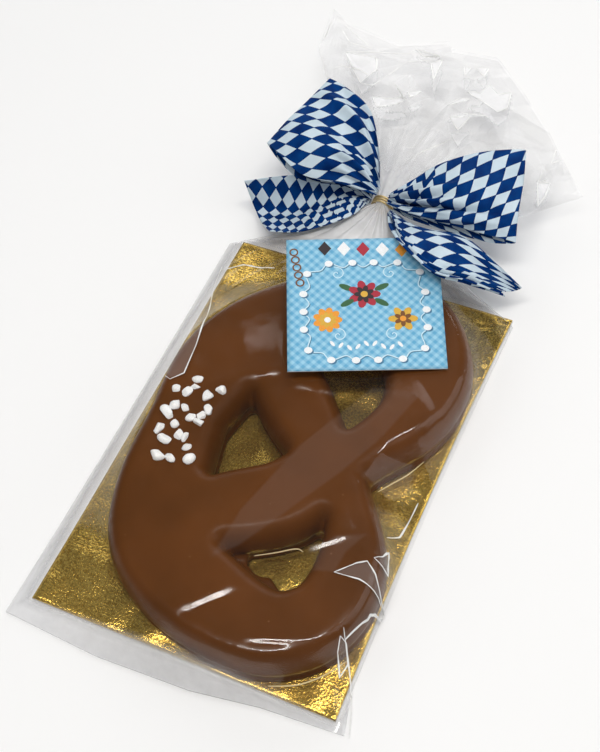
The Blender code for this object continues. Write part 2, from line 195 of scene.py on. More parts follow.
# Brinks where the taut film turns down and catches the light, as (x, y, x, y, width, height).
BRINKS = (
    (-3.5, -70.0, 13.5, -52.0, 4.4, 1.00), (25.2, -36.8, 38.3, -25.0, 3.8, 0.88),
    (31.5, 7.0, 46.6, 22.5, 6.6, 1.50), (-5.7, 16.6, 14.9, 19.6, 4.4, 1.22),
    (-20.6, 13.5, -5.8, 22.0, 4.8, 1.34), (18.0, -70.3, 47.0, -60.0, 3.0, 0.72),
)
BRINK_BACK = 26.0

# Marks on the film as outlines (x, y): hazy zones of painted reflection, facets between white creases, milky
# veils, and the flare's facets.
PAINTED_REFLECTION_ZONES = (
    ((39.5, 28.2), (22.5, 24.3), (9.4, -3.9), (1.7, -32.0), (0.3, -51.6), (7.3, -43.5), (18.1, -24.0),
     (26.5, -8.0), (34.5, 10.3)),
    ((31.0, -43.1), (38.0, -41.0), (38.6, -33.3), (42.7, -24.4), (32.7, -29.8), (29.4, -36.6)),
)
# Facets between white creases, whose whiter film is painted reflection.
PAINTED_FACETS = (
    ((37.5, -40.8), (42.5, -35.6), (45.3, -33.8), (49.0, -36.4), (53.0, -41.5), (45.4, -40.1)),
    ((46.7, -31.9), (48.5, -29.7), (48.9, -26.0), (51.2, -32.7), (49.6, -32.6)),
    ((46.8, -57.9), (47.2, -61.5), (49.4, -66.4), (50.2, -62.0), (48.6, -58.2)),
)
# Milky veils of painted reflection.
PAINTED_VEILS = (
    ((-37.9, 7.0), (-39.5, 18.9), (-41.3, 26.8), (-45.4, 38.0), (-50.9, 49.9), (-51.9, 36.2), (-50.5, 26.1),
     (-46.6, 13.5), (-44.3, 5.7), (-41.2, 3.1)),
)
# Facets of the flare, whose whiter film is painted reflection.
FLARE_FACETS = (
    ((-50.1, 170.6), (-43.6, 162.6), (-37.6, 156.4), (-34.2, 164.5), (-36.8, 170.8)),
    ((-24.4, 181.5), (-19.3, 180.2), (-13.4, 179.1), (-20.3, 178.6)),
    ((-15.1, 173.8), (-11.9, 178.4), (-10.6, 165.4)),
    ((-30.2, 150.8), (-25.0, 151.4), (-19.9, 154.2), (-17.2, 152.9), (-26.4, 145.8)),
    ((-18.1, 157.1), (-13.2, 158.2), (-14.2, 155.6), (-16.2, 154.4)),
    ((-2.1, 175.8), (0.6, 176.1), (0.4, 170.2)),
    ((2.9, 175.7), (7.2, 178.3), (7.1, 173.0)),
    ((-0.8, 153.9), (2.7, 158.5), (6.9, 159.3), (0.3, 153.1)),
    ((4.5, 162.4), (8.8, 163.9), (10.7, 169.7), (15.8, 165.7), (19.7, 168.2), (21.0, 160.2),
     (18.3, 156.5), (12.1, 159.4), (6.1, 161.3)),
    ((2.3, 147.7), (9.6, 150.8), (7.5, 143.5)),
    ((42.9, 130.3), (47.3, 131.9), (47.6, 125.3), (46.6, 120.5)),
)

# White lines as plan lines, each folded film's whitening with a painted highlight: on the flare, on the flat
# part with their widths, and warm painted highlights along the rims with their heights.
FLARE_FOLDS_AND_HIGHLIGHTS = (
    ((-62.6, 186.3), (-61.2, 174.9)),
    ((-56.6, 185.7), (-40.3, 175.1)),
    ((-56.1, 181.5), (-50.6, 175.9), (-42.0, 175.1)),
    ((-50.1, 170.6), (-38.1, 174.0), (-25.9, 178.6), (-25.2, 181.2)),
    ((-50.8, 160.2), (-48.1, 162.9), (-40.2, 162.5), (-35.9, 160.5)),
    ((-37.6, 156.4), (-32.3, 155.8), (-28.3, 163.6), (-25.2, 172.8), (-13.2, 178.6)),
    ((-24.5, 159.6), (-18.9, 154.0)),
    ((6.0, 151.8), (16.0, 152.9)),
    ((-8.5, 130.9), (-4.2, 133.5), (-2.8, 141.0)),
    ((-5.6, 123.9), (3.2, 136.0), (6.1, 139.7)),
    ((43.9, 149.0), (44.5, 141.3), (47.5, 144.9)),
    ((43.2, 137.2), (43.2, 130.4), (45.9, 132.4)),
)
FOLDS_AND_HIGHLIGHTS = (
    (((53.3, -41.4), (51.0, -49.8), (48.1, -57.8)), 0.5),
    (((46.9, -55.5), (51.7, -64.3), (55.3, -72.0), (58.2, -80.6)), 0.6),
    (((46.5, -21.9), (48.8, -17.6), (49.1, -10.0), (49.2, -3.4)), 0.5),
    (((-54.0, 62.8), (-52.8, 56.5), (-50.9, 49.9), (-45.4, 38.0), (-42.3, 31.3), (-41.3, 26.8), (-39.5, 18.9),
      (-37.9, 7.0), (-41.2, 3.1), (-43.7, 4.0)), 0.6),
    (((-52.1, 61.0), (-44.7, 63.0), (-35.9, 61.5), (-30.6, 61.7)), 0.7),
)
# Painted highlights: warm bright lines along the chocolate's rims, at given heights.
PAINTED_RIM_HIGHLIGHTS = (
    (((30.9, -76.7), (35.5, -74.8), (39.9, -72.3), (45.1, -67.2), (49.4, -60.8)), 6.0),
    (((36.1, -4.9), (39.2, -0.5), (42.7, 4.4), (45.7, 10.7)), 6.0),
    (((9.7, -41.2), (15.4, -37.8), (20.9, -34.2), (23.4, -34.3)), 9.0),
)
RIM_WIDTH = 0.4
RIM_STEPS = 6
RIM_TIP = 0.15
FLARE_LINE_WIDTH = 0.55
FACET_LINE_WIDTH = 0.56
LINE_STEP = 1.2
LINE_CAST = 80.0
LINE_LOW = 0.04
LINE_HIGH = 0.12
# Tones of the white lines, folded film's whitening with a painted highlight, and of the warm painted
# highlights on the rims.
FOLD_AND_HIGHLIGHT_TONES = (("film_fold_and_highlight", (0.95, 0.95, 0.94)), ("warm_rim_highlight", (0.90, 0.72, 0.42)))

# Film: mirror share straight on and at a graze, and the milky share of its marks and parts.
FILM_MIRROR = 0.038
FILM_GRAZE = 0.5
FILM_TINTS = ((0.975, 0.975, 0.975), (0.90, 0.90, 0.905))
FILM_MILK = ((0.97, 0.97, 0.98), (0.96, 0.96, 0.97))
MILK_FRONT = 0.85
# Painted reflection: milky shares of the hazy zones and of the facets and veils.
PAINTED_REFLECTION_SHARE = 0.021
PAINTED_FACET_SHARE = 0.075
# Painted sheen: the trace of milk on the taut part rises from left to right over a spread, so the right side
# is lighter.
MILK_LEFT = 0.001
PAINTED_SHEEN_RIGHT = 0.0035
PAINTED_SHEEN_SPREAD = 90.0
MILK_MARGIN = 0.62
MARGIN_FADE = 4.0
MILK_NECK = 0.45
MILK_FLARE = 0.06
# Painted reflection: the flare's facets are made whiter.
FLARE_FACET_PAINT = 0.55

# Ribbon: cross sections as points (x, y, z) from one edge to the other.
RIBBON_WIDTH = 40.0
RIBBON_THICKNESS = 0.35
LOOP_LEFT = (
    ((-11.6, 108.6, 12.0), (-11.4, 107.2, 12.3), (-11.3, 105.7, 12.2), (-11.4, 104.2, 11.5)),
    ((-15.6, 121.5, 15.6), (-17.7, 115.6, 16.4), (-20.0, 110.0, 16.2), (-22.6, 104.9, 14.2)),
    ((-24.2, 137.0, 17.4), (-29.6, 123.8, 18.6), (-33.6, 111.2, 18.8), (-36.6, 100.0, 17.2)),
    ((-36.0, 143.2, 20.2), (-39.8, 129.5, 20.9), (-43.8, 115.8, 20.8), (-47.4, 104.0, 19.2)),
    ((-45.6, 146.2, 23.0), (-47.8, 132.8, 24.2), (-51.0, 119.6, 24.4), (-54.6, 108.8, 21.8)),
    ((-35.4, 141.2, 25.4), (-37.6, 128.5, 26.0), (-41.5, 113.5, 29.2), (-46.0, 102.4, 24.6)),
    ((-23.6, 134.4, 24.0), (-26.6, 122.5, 24.2), (-31.4, 109.5, 28.4), (-35.4, 98.4, 22.2)),
    ((-14.4, 119.9, 19.6), (-15.8, 114.8, 18.6), (-18.9, 108.6, 21.6), (-21.8, 102.8, 17.4)),
    ((-9.4, 107.6, 15.2), (-9.1, 106.4, 15.6), (-9.0, 105.2, 15.6), (-9.2, 103.8, 15.1)),
)
LOOP_RIGHT = (
    ((-2.1, 106.6, 12.3), (-1.9, 104.8, 12.6), (-1.7, 102.8, 12.7), (-1.7, 101.0, 12.9)),
    ((2.6, 112.6, 14.6), (5.6, 105.4, 16.2), (7.2, 101.0, 15.6), (7.8, 98.4, 13.6)),
    ((10.6, 121.0, 16.8), (17.6, 109.0, 18.6), (22.0, 99.8, 18.0), (26.0, 96.6, 15.0)),
    ((23.4, 129.4, 18.6), (30.0, 114.6, 20.0), (34.0, 101.6, 19.8), (37.4, 95.4, 16.8)),
    ((36.2, 136.0, 22.0), (40.6, 120.4, 23.6), (43.8, 105.6, 23.6), (46.2, 96.2, 19.4)),
    ((23.0, 128.2, 24.4), (29.6, 113.2, 27.0), (33.2, 100.4, 26.8), (36.2, 95.2, 20.8)),
    ((9.8, 120.2, 21.8), (16.8, 107.2, 26.2), (21.0, 98.2, 25.2), (24.6, 96.4, 19.4)),
    ((1.6, 112.2, 18.0), (4.8, 104.4, 20.4), (6.2, 100.2, 19.4), (6.6, 98.2, 16.6)),
    ((-4.4, 106.2, 15.3), (-4.2, 104.6, 15.7), (-4.0, 102.8, 15.7), (-3.9, 101.2, 15.2)),
)
TAIL_LEFT = (
    ((-12.4, 107.4, 9.6), (-12.2, 106.0, 9.1), (-12.2, 104.6, 9.8), (-12.8, 102.6, 11.8)),
    ((-24.6, 107.6, 13.4), (-23.8, 105.8, 7.2), (-18.6, 98.4, 11.4), (-14.6, 92.1, 14.4)),
    ((-40.0, 103.2, 15.5), (-37.2, 97.8, 4.6), (-33.0, 91.0, 6.6), (-28.6, 81.2, 12.6)),
    ((-57.4, 93.0, 16.6), (-53.4, 90.6, 5.0), (-47.6, 84.6, 6.0), (-40.0, 77.2, 12.4)),
)
TAIL_RIGHT = (
    ((-2.2, 100.4, 13.8), (-2.1, 99.4, 14.1), (-1.9, 98.2, 14.4), (-1.7, 97.2, 14.4)),
    ((10.2, 96.2, 13.4), (9.2, 91.0, 20.0), (11.6, 78.0, 27.6), (12.6, 78.8, 25.8)),
    ((28.2, 92.2, 20.4), (26.6, 84.0, 25.4), (26.6, 69.6, 28.6), (28.0, 71.0, 24.8)),
    ((43.6, 86.2, 17.8), (40.0, 82.6, 17.6), (37.2, 72.6, 24.0), (38.8, 74.2, 20.6)),
    ((53.3, 83.3, 12.8), (51.2, 82.4, 11.4), (48.2, 76.8, 16.2), (49.2, 77.8, 13.0)),
)
LOZENGE = (10.4, 5.2)

# Each ribbon piece: name, sections, turn of its print in degrees, CAD node, pleats, share of the
# ribbon's width that its cloth fills, valleys, and the size of its lozenges.
RIBBONS = (
    ("bow_loop_left", LOOP_LEFT, 50.0, "ribbon_loop_left", (6, 0.0, 1.0), 0.9,
     ((0.24, -3.2, 0.055), (0.45, 1.2, 0.07), (0.10, 1.6, 0.05)), LOZENGE),
    ("bow_loop_right", LOOP_RIGHT, -40.0, "ribbon_loop_right", (6, 0.0, 1.0), 0.9,
     ((0.66, -3.2, 0.05), (0.80, 1.5, 0.05), (0.34, 1.0, 0.07)), LOZENGE),
    ("bow_tail_left", TAIL_LEFT, -12.0, "ribbon_tail_left", (7, 0.3, 1.0), 0.85, (), (8.0, 4.3)),
    ("bow_tail_right", TAIL_RIGHT, 57.0, "ribbon_tail_right", (6, 0.5, 1.0), 0.95, (), (11.4, 5.0)),
)
RIBBON_ACROSS = 90
RIBBON_ALONG = 12
PLEAT_LIMIT = 1.5
PINCH_PLEAT = 0.45
PINCH_REACH = 9.0
CALM_LEAST = 0.15
CALM_SHARE = 0.2
VALLEY_RISE = 6.0
LOZENGE_EDGE = 0.03
WEAVE_PITCH = (0.42, 0.5)
RIBBON_BLUE = ((0.0, 0.017, 0.110), (0.0005, 0.046, 0.21))
RIBBON_WHITE = ((0.54, 0.66, 0.74), (0.66, 0.77, 0.86))

# Tie round the neck: a wire in close turns.
TIE_WIRE_RADIUS = 0.42
TIE_CLEARANCE = 1.0
TIE_TURNS = 3
TIE_WIDTH = 3.4
TIE_STEPS = 28
TIE_SIDES = 10
WIRE = ((0.55, 0.40, 0.16), (0.80, 0.64, 0.34))

# Square tag and its print, each ink in a thin film and each shape in a layer over the card's face.
TAG_SIDE = 52.3
TAG_THICKNESS = 0.4
TAG_CENTRE = (8.6, 52.0, 22.7)
TAG_TURN_DEGREES = (4.6, 4.6, 25.0)
TAG_BOW = 0.5
TAG_POINTS = 27
TAG_CARD = ((0.82, 0.84, 0.86), (0.9184, 0.9408, 0.9632))
TAG_BLUES = ((0.11, 0.38, 0.61), (0.32, 0.60, 0.77))
CHECK_PITCH = 1.75
INKS = {
    "white": (0.90, 0.92, 0.94), "shade": (0.055, 0.19, 0.33), "thread": (0.62, 0.82, 0.92),
    "crimson": (0.42, 0.022, 0.045), "dark": (0.035, 0.025, 0.03), "orange": (0.86, 0.34, 0.035),
    "gold": (0.72, 0.42, 0.05), "brown": (0.20, 0.075, 0.02), "leaf": (0.04, 0.13, 0.05),
}
INK_DEEP = 0.88
PRINT_LOW = 0.025
PRINT_LAYER = 0.012
PRINT_FILM = 0.02
GARLAND = 19.6
GARLAND_TURNS = 18
GARLAND_WAVE = 0.05
GARLAND_SQUASH = 0.94
GARLAND_DROP = 3.0
THREAD_WIDTH = 0.40
SHADE_WIDTH = 0.35
THREAD_SHADE = (0.25, -0.35)
BEAD = 1.4
BEAD_SHADE = (0.45, -0.55)
BEAD_EVERY = 10
CURLS = ((-9.0, -12.5, 1.0), (9.0, -12.5, -1.0), (-9.0, 12.0, 1.0), (9.0, 12.0, -1.0))
CURL_PITCH = 0.34
DIAMONDS = ("dark", "white", "crimson", "white", "orange")
DIAMOND = (2.3, 2.9)
SMALL_RINGS = 5
SMALL_RING = 1.3
FLOWERS = (
    (0.0, 3.6, 5.6, 7, ("crimson", "dark", "gold")), (-12.6, -6.4, 5.0, 9, ("orange", "gold", "white")),
    (12.6, -6.4, 5.0, 6, ("gold", "brown", "orange")),
)
INNER_PETALS = 0.62
LEAF_TURNS = (-150.0, -30.0, 25.0, 155.0)
LEAF_REACH = 6.6
LEAFLETS = 9

# Stage, with its lengths in metres: floor, sky, and each light's azimuth from +X, elevation,
# distance, width, height, watts, colour and whether it is seen in reflections.
FLOOR_SIZE = 6.0
FLOOR_Z = -0.0002
FLOOR_TONE = (0.90, 0.90, 0.905)
SKY_TONE = (0.9, 0.95, 1.0, 1.0)
SKY_STRENGTH = 0.10
WHITE = (1.0, 1.0, 1.0)
LIGHTS = (
    ("key_soft", 80.0, 62.0, 1.5, 0.7, 0.7, 4.0, WHITE, False),
    ("top_strip", -60.0, 76.0, 1.2, 0.95, 0.13, 7.5, (1.0, 0.97, 0.92), True),
    ("back_wall", 108.0, 29.0, 1.7, 1.5, 1.05, 8.5, WHITE, True),
    ("left_fill", 205.0, 35.0, 2.0, 1.4, 1.6, 4.0, WHITE, False),
    ("right_fill", 20.0, 35.0, 2.0, 1.6, 1.6, 8.0, WHITE, True),
    ("front_fill", -60.0, 42.0, 2.4, 3.0, 2.6, 13.0, WHITE, False),
)

# Camera from the photograph: angles, distance to the point it looks at, and that point.
CAMERA_ELEVATION = 55.483
CAMERA_AZIMUTH = 32.685
CAMERA_ROLL = -10.0
CAMERA_DISTANCE = 452.43
CAMERA_AIM = (-7.436, 29.527, 1.7)
CAMERA_LENS_PIXELS = 1312.8
PHOTO_LONG_SIDE = 752
SENSOR = 36.0


def unit(values):
    """Values held between 0 and 1."""
    return np.clip(values, 0.0, 1.0)


def circle(count):
    """Angles evenly round a circle."""
    return np.linspace(0.0, 2.0 * math.pi, count, endpoint=False)


def normalised(vectors):
    """Vectors scaled to length one."""
    return vectors / np.linalg.norm(vectors, axis=-1, keepdims=True)


def smooth_line(points, steps):
    """Catmull-Rom curve through the points, with the given steps in each span."""
    points = np.asarray(points, float)
    last = len(points) - 1
    line = []
    for i in range(last):
        before, here = points[max(i - 1, 0)], points[i]
        there, after = points[i + 1], points[min(i + 2, last)]
        for t in np.linspace(0.0, 1.0, steps, endpoint=False):
            line.append(0.5 * (2.0 * here + (there - before) * t
                               + (2.0 * before - 5.0 * here + 4.0 * there - after) * t * t
                               + (3.0 * here - before - 3.0 * there + after) * t ** 3))
    line.append(points[last])
    return np.array(line)


def grid_faces(rows, columns, first=0, flip=False):
    """Four-sided faces of a grid of points, facing +Z where rows run along +Y."""
    index = first + np.arange(rows * columns).reshape(rows, columns)
    corners = (index[:-1, :-1], index[:-1, 1:], index[1:, 1:], index[1:, :-1])
    if flip:
        corners = corners[::-1]
    return np.stack([corner.ravel() for corner in corners], 1).tolist()


def slab_faces(rows, columns):
    """Faces of a closed slab between a grid and the equal grid listed after it."""
    grid = rows * columns
    rim = list(range(columns)) + [i * columns + columns - 1 for i in range(1, rows)]
    rim += [(rows - 1) * columns + j for j in range(columns - 2, -1, -1)]
    rim += [i * columns for i in range(rows - 2, 0, -1)]
    sides = [[a + grid, b + grid, b, a] for a, b in zip(rim, rim[1:] + rim[:1])]
    return grid_faces(rows, columns) + grid_faces(rows, columns, grid, flip=True) + sides


def tube_faces(count, sides, first=0):
    """Faces of a closed tube through a count of rings, each with its points in order round it."""
    rings = (first + np.arange(count * sides)).reshape(count, sides).tolist()
    return [rings[0][::-1], rings[-1]] + [
        [here[k], here[(k + 1) % sides], there[(k + 1) % sides], there[k]]
        for here, there in zip(rings, rings[1:]) for k in range(sides)]


def add_object(name, mesh, nodes=()):
    """Object that rides on the body and stands for CAD nodes."""
    piece = bpy.data.objects.new(name, mesh)
    bpy.context.scene.collection.objects.link(piece)
    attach(piece, "root")
    if nodes:
        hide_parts(*nodes)
    return piece


def add_piece(name, points, faces, materials, nodes=(), uv=None):
    """Smooth mesh object from points in millimetres."""
    mesh = bpy.data.meshes.new(name)
    mesh.from_pydata(((np.asarray(points, float) + (*PLAN_SHIFT, 0.0)) * MM).tolist(), [], faces)
    for material in materials:
        mesh.materials.append(material)
    mesh.shade_smooth()
    if uv is not None:
        corner = np.empty(len(mesh.loops), int)
        mesh.loops.foreach_get("vertex_index", corner)
        mesh.uv_layers.new(name="flat").data.foreach_set("uv", np.asarray(uv, float)[corner].ravel())
    return add_object(name, mesh, nodes)


def bare_card(piece, shown):
    """All faces after the shown ones get the second material and flat shading."""
    for polygon in piece.data.polygons[shown:]:
        polygon.material_index = 1
        polygon.use_smooth = False


# ---------------------------------------------------------------- materials

class Shading:
    """Adds nodes to one new material and links them; colours are (red, green, blue)."""

    def __init__(self, name):
        self.material = bpy.data.materials.new(name)
        self.material.use_nodes = True
        self.tree = self.material.node_tree
        self.shader = self.tree.nodes["Principled BSDF"]

    def feed(self, entry, value):
        """Links an output to an input socket, or sets the input's own value."""
        if isinstance(value, bpy.types.NodeSocket):
            self.tree.links.new(value, entry)
        else:
            entry.default_value = (*value, 1.0) if entry.type == "RGBA" else value

    def node(self, kind, inputs=(), result=0, **settings):
        """Output of a new node, whose inputs are a tuple in order or a dictionary by socket."""
        made = self.tree.nodes.new("ShaderNode" + kind)
        for key, value in settings.items():
            setattr(made, key, value)
        for socket, value in inputs.items() if isinstance(inputs, dict) else enumerate(inputs):
            self.feed(made.inputs[socket], value)
        return made.outputs[result]

    def set(self, **inputs):
        for key, value in inputs.items():
            self.feed(self.shader.inputs[key.replace("_", " ")], value)

    def math(self, operation, first, second=0.0):
        return self.node("Math", (first, second), operation=operation)

    def mix(self, share, first, second, blend="MIX"):
        return self.node("Mix", {0: share, 6: first, 7: second}, 2, data_type="RGBA", blend_type=blend)

    def blend(self, share, first, second):
        """Mix of two shaders."""
        return self.node("MixShader", (share, first, second))

    def attribute(self, name):
        return self.node("Attribute", (), "Fac", attribute_name=name)

    def place(self):
        """Object coordinates in millimetres."""
        return self.node("Mapping", {"Vector": self.node("TexCoord", (), "Object"), "Scale": (1.0 / MM,) * 3})

    def parts(self, vector):
        """The x and the y of a vector."""
        return self.node("SeparateXYZ", (vector,)).node.outputs[:2]

    def noise(self, where, scale, detail=3.0, roughness=0.5):
        inputs = {"Vector": where, "Scale": scale, "Detail": detail, "Roughness": roughness}
        return self.node("TexNoise", inputs, "Fac")

    def ramp(self, value, low=0.3, high=0.7, start=0.0, end=1.0):
        """Maps low..high to start..end, held beyond."""
        return self.node("MapRange", (value, low, high, start, end))

    def bump(self, height, distance, strength=1.0, below=None):
        """Normal of a relief with its height in millimetres, over another normal if given."""
        inputs = {"Height": height, "Distance": distance * MM, "Strength": strength}
        return self.node("Bump", inputs if below is None else {**inputs, "Normal": below})


def chocolate_material():
    """Milk chocolate coating, satin, with faint streaks and tiny pits."""
    look = Shading("milk_chocolate")
    where = look.place()
    broad, fine = look.noise(where, 0.035), look.noise(where, 0.5, 4.0)
    colour = look.mix(look.ramp(broad, 0.35, 0.65), *CHOCOLATE)
    pits = look.node("TexVoronoi", {"Vector": where, "Scale": 0.16}, "Distance")
    look.set(Base_Color=look.mix(look.ramp(pits, 0.0, 0.06, 1.0, 0.0), colour, CHOCOLATE_PIT),
             Roughness=look.ramp(fine, start=0.32, end=0.42), Specular_IOR_Level=0.16,
             Normal=look.bump(fine, 0.05, 0.6, look.bump(broad, 1.2, 0.5)))
    return look.material


def gold_material():
    """Gold foil with a fine grained embossing and long wrinkles; smoother and patchy in one corner."""
    look = Shading("gold_foil")
    where = look.place()
    grain = look.noise(where, 1.35, roughness=0.55)
    long_way = look.node("Mapping", {"Vector": where, "Rotation": (0.0, 0.0, 0.6), "Scale": (0.28, 1.5, 1.0)})
    across, along = look.parts(where)
    calm = look.math("MULTIPLY", look.ramp(across, *CALM_FOIL_X), look.ramp(along, *CALM_FOIL_Y))
    rest = look.math("SUBTRACT", 1.0, calm)
    rough = look.bump(grain, 0.15, look.ramp(rest, 0.0, 1.0, 0.5, 1.0))
    patchy = look.bump(look.noise(where, 0.11, 2.5), 1.7, calm, rough)
    wavy = look.bump(look.noise(where, 0.028, 2.0), 7.5, look.ramp(rest, 0.0, 1.0, 0.12, 1.0), patchy)
    look.set(Base_Color=look.mix(look.ramp(grain, 0.36, 0.60), *GOLD), Metallic=0.85,
             Roughness=look.math("MULTIPLY", look.ramp(grain, start=0.28, end=0.18),
                                 look.ramp(rest, 0.0, 1.0, 0.4, 1.0)),
             Normal=look.bump(look.noise(long_way, 0.5), 0.16, 0.5, wavy))
    return look.material


def grained(name, tones, scale, relief, detail=3.0, rough=(0.42, 0.55), spread=(0.3, 0.7), strength=0.5):
    """Material whose colour, relief and range of roughness, if it has one, follow one fine noise."""
    look = Shading(name)
    grain = look.noise(look.place(), scale, detail)
    tone, normal = look.mix(look.ramp(grain, *spread), *tones), look.bump(grain, relief, strength)
    gloss = look.ramp(grain, 0.3, 0.7, *rough) if isinstance(rough, tuple) else rough
    look.set(Base_Color=tone, Roughness=gloss, Normal=normal)
    return look


def card_material(name, tones):
    """Bare card of an underside and a cut edge."""
    return grained(name, tones, 1.6, 0.05, 4.0, 0.8).material


def ink_material(name):
    """One printed tone on the tag's card."""
    tone = INKS[name]
    return grained("print_" + name, ([part * INK_DEEP for part in tone], tone), 1.8, 0.01).material


def wire_material():
    """Satin gold wire."""
    look = grained("gold_wire", WIRE, 1.5, 0.05, rough=(0.28, 0.5), spread=(0.0, 1.0), strength=1.0)
    look.set(Metallic=0.7)
    return look.material


def nib_material():
    """Compressed sugar, matt white with a soft grain."""
    look = grained("sugar_nib", SUGAR, 2.2, 0.12, rough=0.65, strength=0.7)
    look.set(Subsurface_Weight=0.2, Subsurface_Radius=(0.8, 0.7, 0.6), Subsurface_Scale=0.001)
    return look.material


def film_layers(look, share, clear, pale, mirror, gloss, normal):
    """Surface of film: clear, with a share of pale tones seen from behind and in front, under a gloss."""
    layers = zip(("BsdfTransparent", "BsdfTranslucent", "BsdfDiffuse"), (clear, *pale))
    through, behind, front = [look.node(kind, {"Color": colour}) for kind, colour in layers]
    body = look.blend(share, through, look.blend(MILK_FRONT, behind, front))
    shine = look.node("BsdfGlossy", {"Color": (1.0, 1.0, 1.0), "Roughness": gloss, "Normal": normal})
    look.tree.nodes.remove(look.shader)
    look.feed(look.tree.nodes["Material Output"].inputs["Surface"], look.blend(mirror, body, shine))
    return look.material


def film_material():
    """Thin clear film: mostly see-through, mirror-like by Fresnel, milky where it is creased, with painted
    reflection in its marked zones and facets and painted sheen rising to the right.
    """
    look = Shading("clear_film")
    where = look.place()
    milk = look.attribute("milk")
    share = look.math("MULTIPLY", milk, look.ramp(look.noise(where, 0.12, 4.0, 0.6), start=0.9, end=1.1))
    for mark, edge, most in (("painted_reflection", 1.0, PAINTED_REFLECTION_SHARE), ("painted_facet", 0.3, PAINTED_FACET_SHARE)):
        share = look.math("ADD", share, look.ramp(look.attribute(mark), 0.0, edge, 0.0, most))
    normal = look.bump(look.noise(where, 0.10, 2.0), 0.25, 0.4)
    gloss = look.ramp(look.noise(where, 0.2), 0.35, 0.65, 0.05, 0.20)
    slant = look.math("POWER", look.node("LayerWeight", (0.5, normal), "Facing"), 5.0)
    mirror = look.math("ADD", look.math("MULTIPLY", slant, FILM_GRAZE), FILM_MIRROR)
    tint = look.mix(look.ramp(milk, 0.05, 0.12), *FILM_TINTS)
    return film_layers(look, look.math("MINIMUM", share, 1.0), tint, FILM_MILK, mirror, gloss, normal)


def fold_and_highlight_material(name, tone):
    """Folded film, milky and a little glossy: the white lines are its whitening with a painted highlight, the
    warm tone a painted highlight on the rims.
    """
    look = Shading(name)
    grain = look.noise(look.place(), 0.9, 2.0)
    share = look.ramp(grain, start=0.85, end=1.0)
    return film_layers(look, share, (0.97, 0.97, 0.97), (tone, tone), 0.08, 0.15, look.bump(grain, 0.05))


def ribbon_material(name, turn, lozenge):
    """Woven ribbon printed with blue and white lozenges, turned by some degrees from the length."""
    look = Shading(name)
    flat = look.node("TexCoord", (), "UV")
    turned = look.node("Mapping", {"Vector": flat, "Rotation": (0.0, 0.0, math.radians(turn))})
    p, q = [look.math("DIVIDE", part, size) for part, size in zip(look.parts(turned), lozenge)]
    slants = [look.math("ADD", p, q), look.math("SUBTRACT", p, q)]
    odd = look.math("PINGPONG", look.math("ADD", *[look.math("FLOOR", slant) for slant in slants]), 1.0)
    for slant in slants:
        edge = look.math("GREATER_THAN", look.math("PINGPONG", slant, 0.5), LOZENGE_EDGE)
        odd = look.math("MULTIPLY", odd, edge)
    cloud = look.ramp(look.noise(flat, 0.15))
    weave = look.math("MULTIPLY", *[look.math("SINE", look.math("MULTIPLY", part, 2.0 * math.pi / pitch))
                                    for part, pitch in zip(look.parts(flat), WEAVE_PITCH)])
    shade = look.ramp(weave, -1.0, 1.0, 0.90, 1.0)
    colour = look.mix(odd, look.mix(cloud, *RIBBON_BLUE), look.mix(cloud, *RIBBON_WHITE))
    look.set(Base_Color=look.mix(1.0, colour, look.node("CombineColor", (shade,) * 3), "MULTIPLY"),
             Roughness=0.7, Specular_IOR_Level=0.06, Normal=look.bump(weave, 0.05, 0.6))
    return look.material


def tag_material():
    """Printed card with a diagonal check in light blues."""
    look = Shading("tag_check")
    flat = look.node("TexCoord", (), "UV")
    stripes = []
    for sign in ("ADD", "SUBTRACT"):
        run = look.math("DIVIDE", look.math(sign, *look.parts(flat)), CHECK_PITCH)
        stripes.append(look.ramp(look.math("PINGPONG", run, 1.0), 0.36, 0.64))
    both = look.math("MULTIPLY", look.math("ADD", *stripes), 0.5)
    fibre = look.noise(flat, 1.4)
    look.set(Base_Color=look.mix(both, *TAG_BLUES), Roughness=look.ramp(fibre, start=0.42, end=0.55),
             Normal=look.bump(fibre, 0.02, 0.5))
    return look.material


# ---------------------------------------------------------------- pretzel

def edge_profile(inside):
    """Share of the full height at a distance inside the rope's edge: steep at the foot, flat on top."""
    slope = unit(1.0 - np.asarray(inside) / PRETZEL_EDGE_REACH)
    return (1.0 - slope ** PRETZEL_EDGE_POWER) ** (1.0 / PRETZEL_CROWN_POWER)


def depth_in_discs(points, discs):
    """How far each point lies inside the deepest disc round it, below zero outside them all."""
    depth = np.full(len(points), -np.inf)
    for cx, cy, radius in discs:
        depth = np.maximum(depth, radius - np.hypot(points[:, 0] - cx, points[:, 1] - cy))
    return depth


def pretzel_edge():
    """Search tree of points on the outer edge and the hole edges of the pretzel."""
    angles = circle(OUTLINE_SIDES)
    ring = np.stack([np.cos(angles), np.sin(angles)], 1)
    points = (DISCS[:, None, :2] + DISCS[:, None, 2:] * ring).reshape(-1, 2)
    outline = points[depth_in_discs(points, DISCS) < OUTLINE_SLACK]
    tree = kdtree.KDTree(len(outline))
    for index, (px, py) in enumerate(outline):
        tree.insert((px, py, 0.0), index)
    tree.balance()
    return tree


DISCS = np.concatenate([smooth_line(half, ROPE_STEPS) for half in (ROPE_UPPER, ROPE_LOWER)])
PRETZEL_EDGE = pretzel_edge()


def pretzel_depth(x, y, outset=0.0):
    """Distance of plan points inside the pretzel's nearest edge, moved out by outset, zero beside it."""
    points = np.stack([np.ravel(x), np.ravel(y)], 1)
    away = np.array([PRETZEL_EDGE.find((px, py, 0.0))[2] for px, py in points])
    signed = np.where(depth_in_discs(points, DISCS) > 0.0, away, -away)
    return np.maximum(signed + outset, 0.0).reshape(np.shape(x))


def pretzel_height(x, y, outset=0.0):
    """Height of the pretzel above the board at plan points: flat with rounded edges, zero beside it."""
    return PRETZEL_HEIGHT * edge_profile(pretzel_depth(x, y, outset))


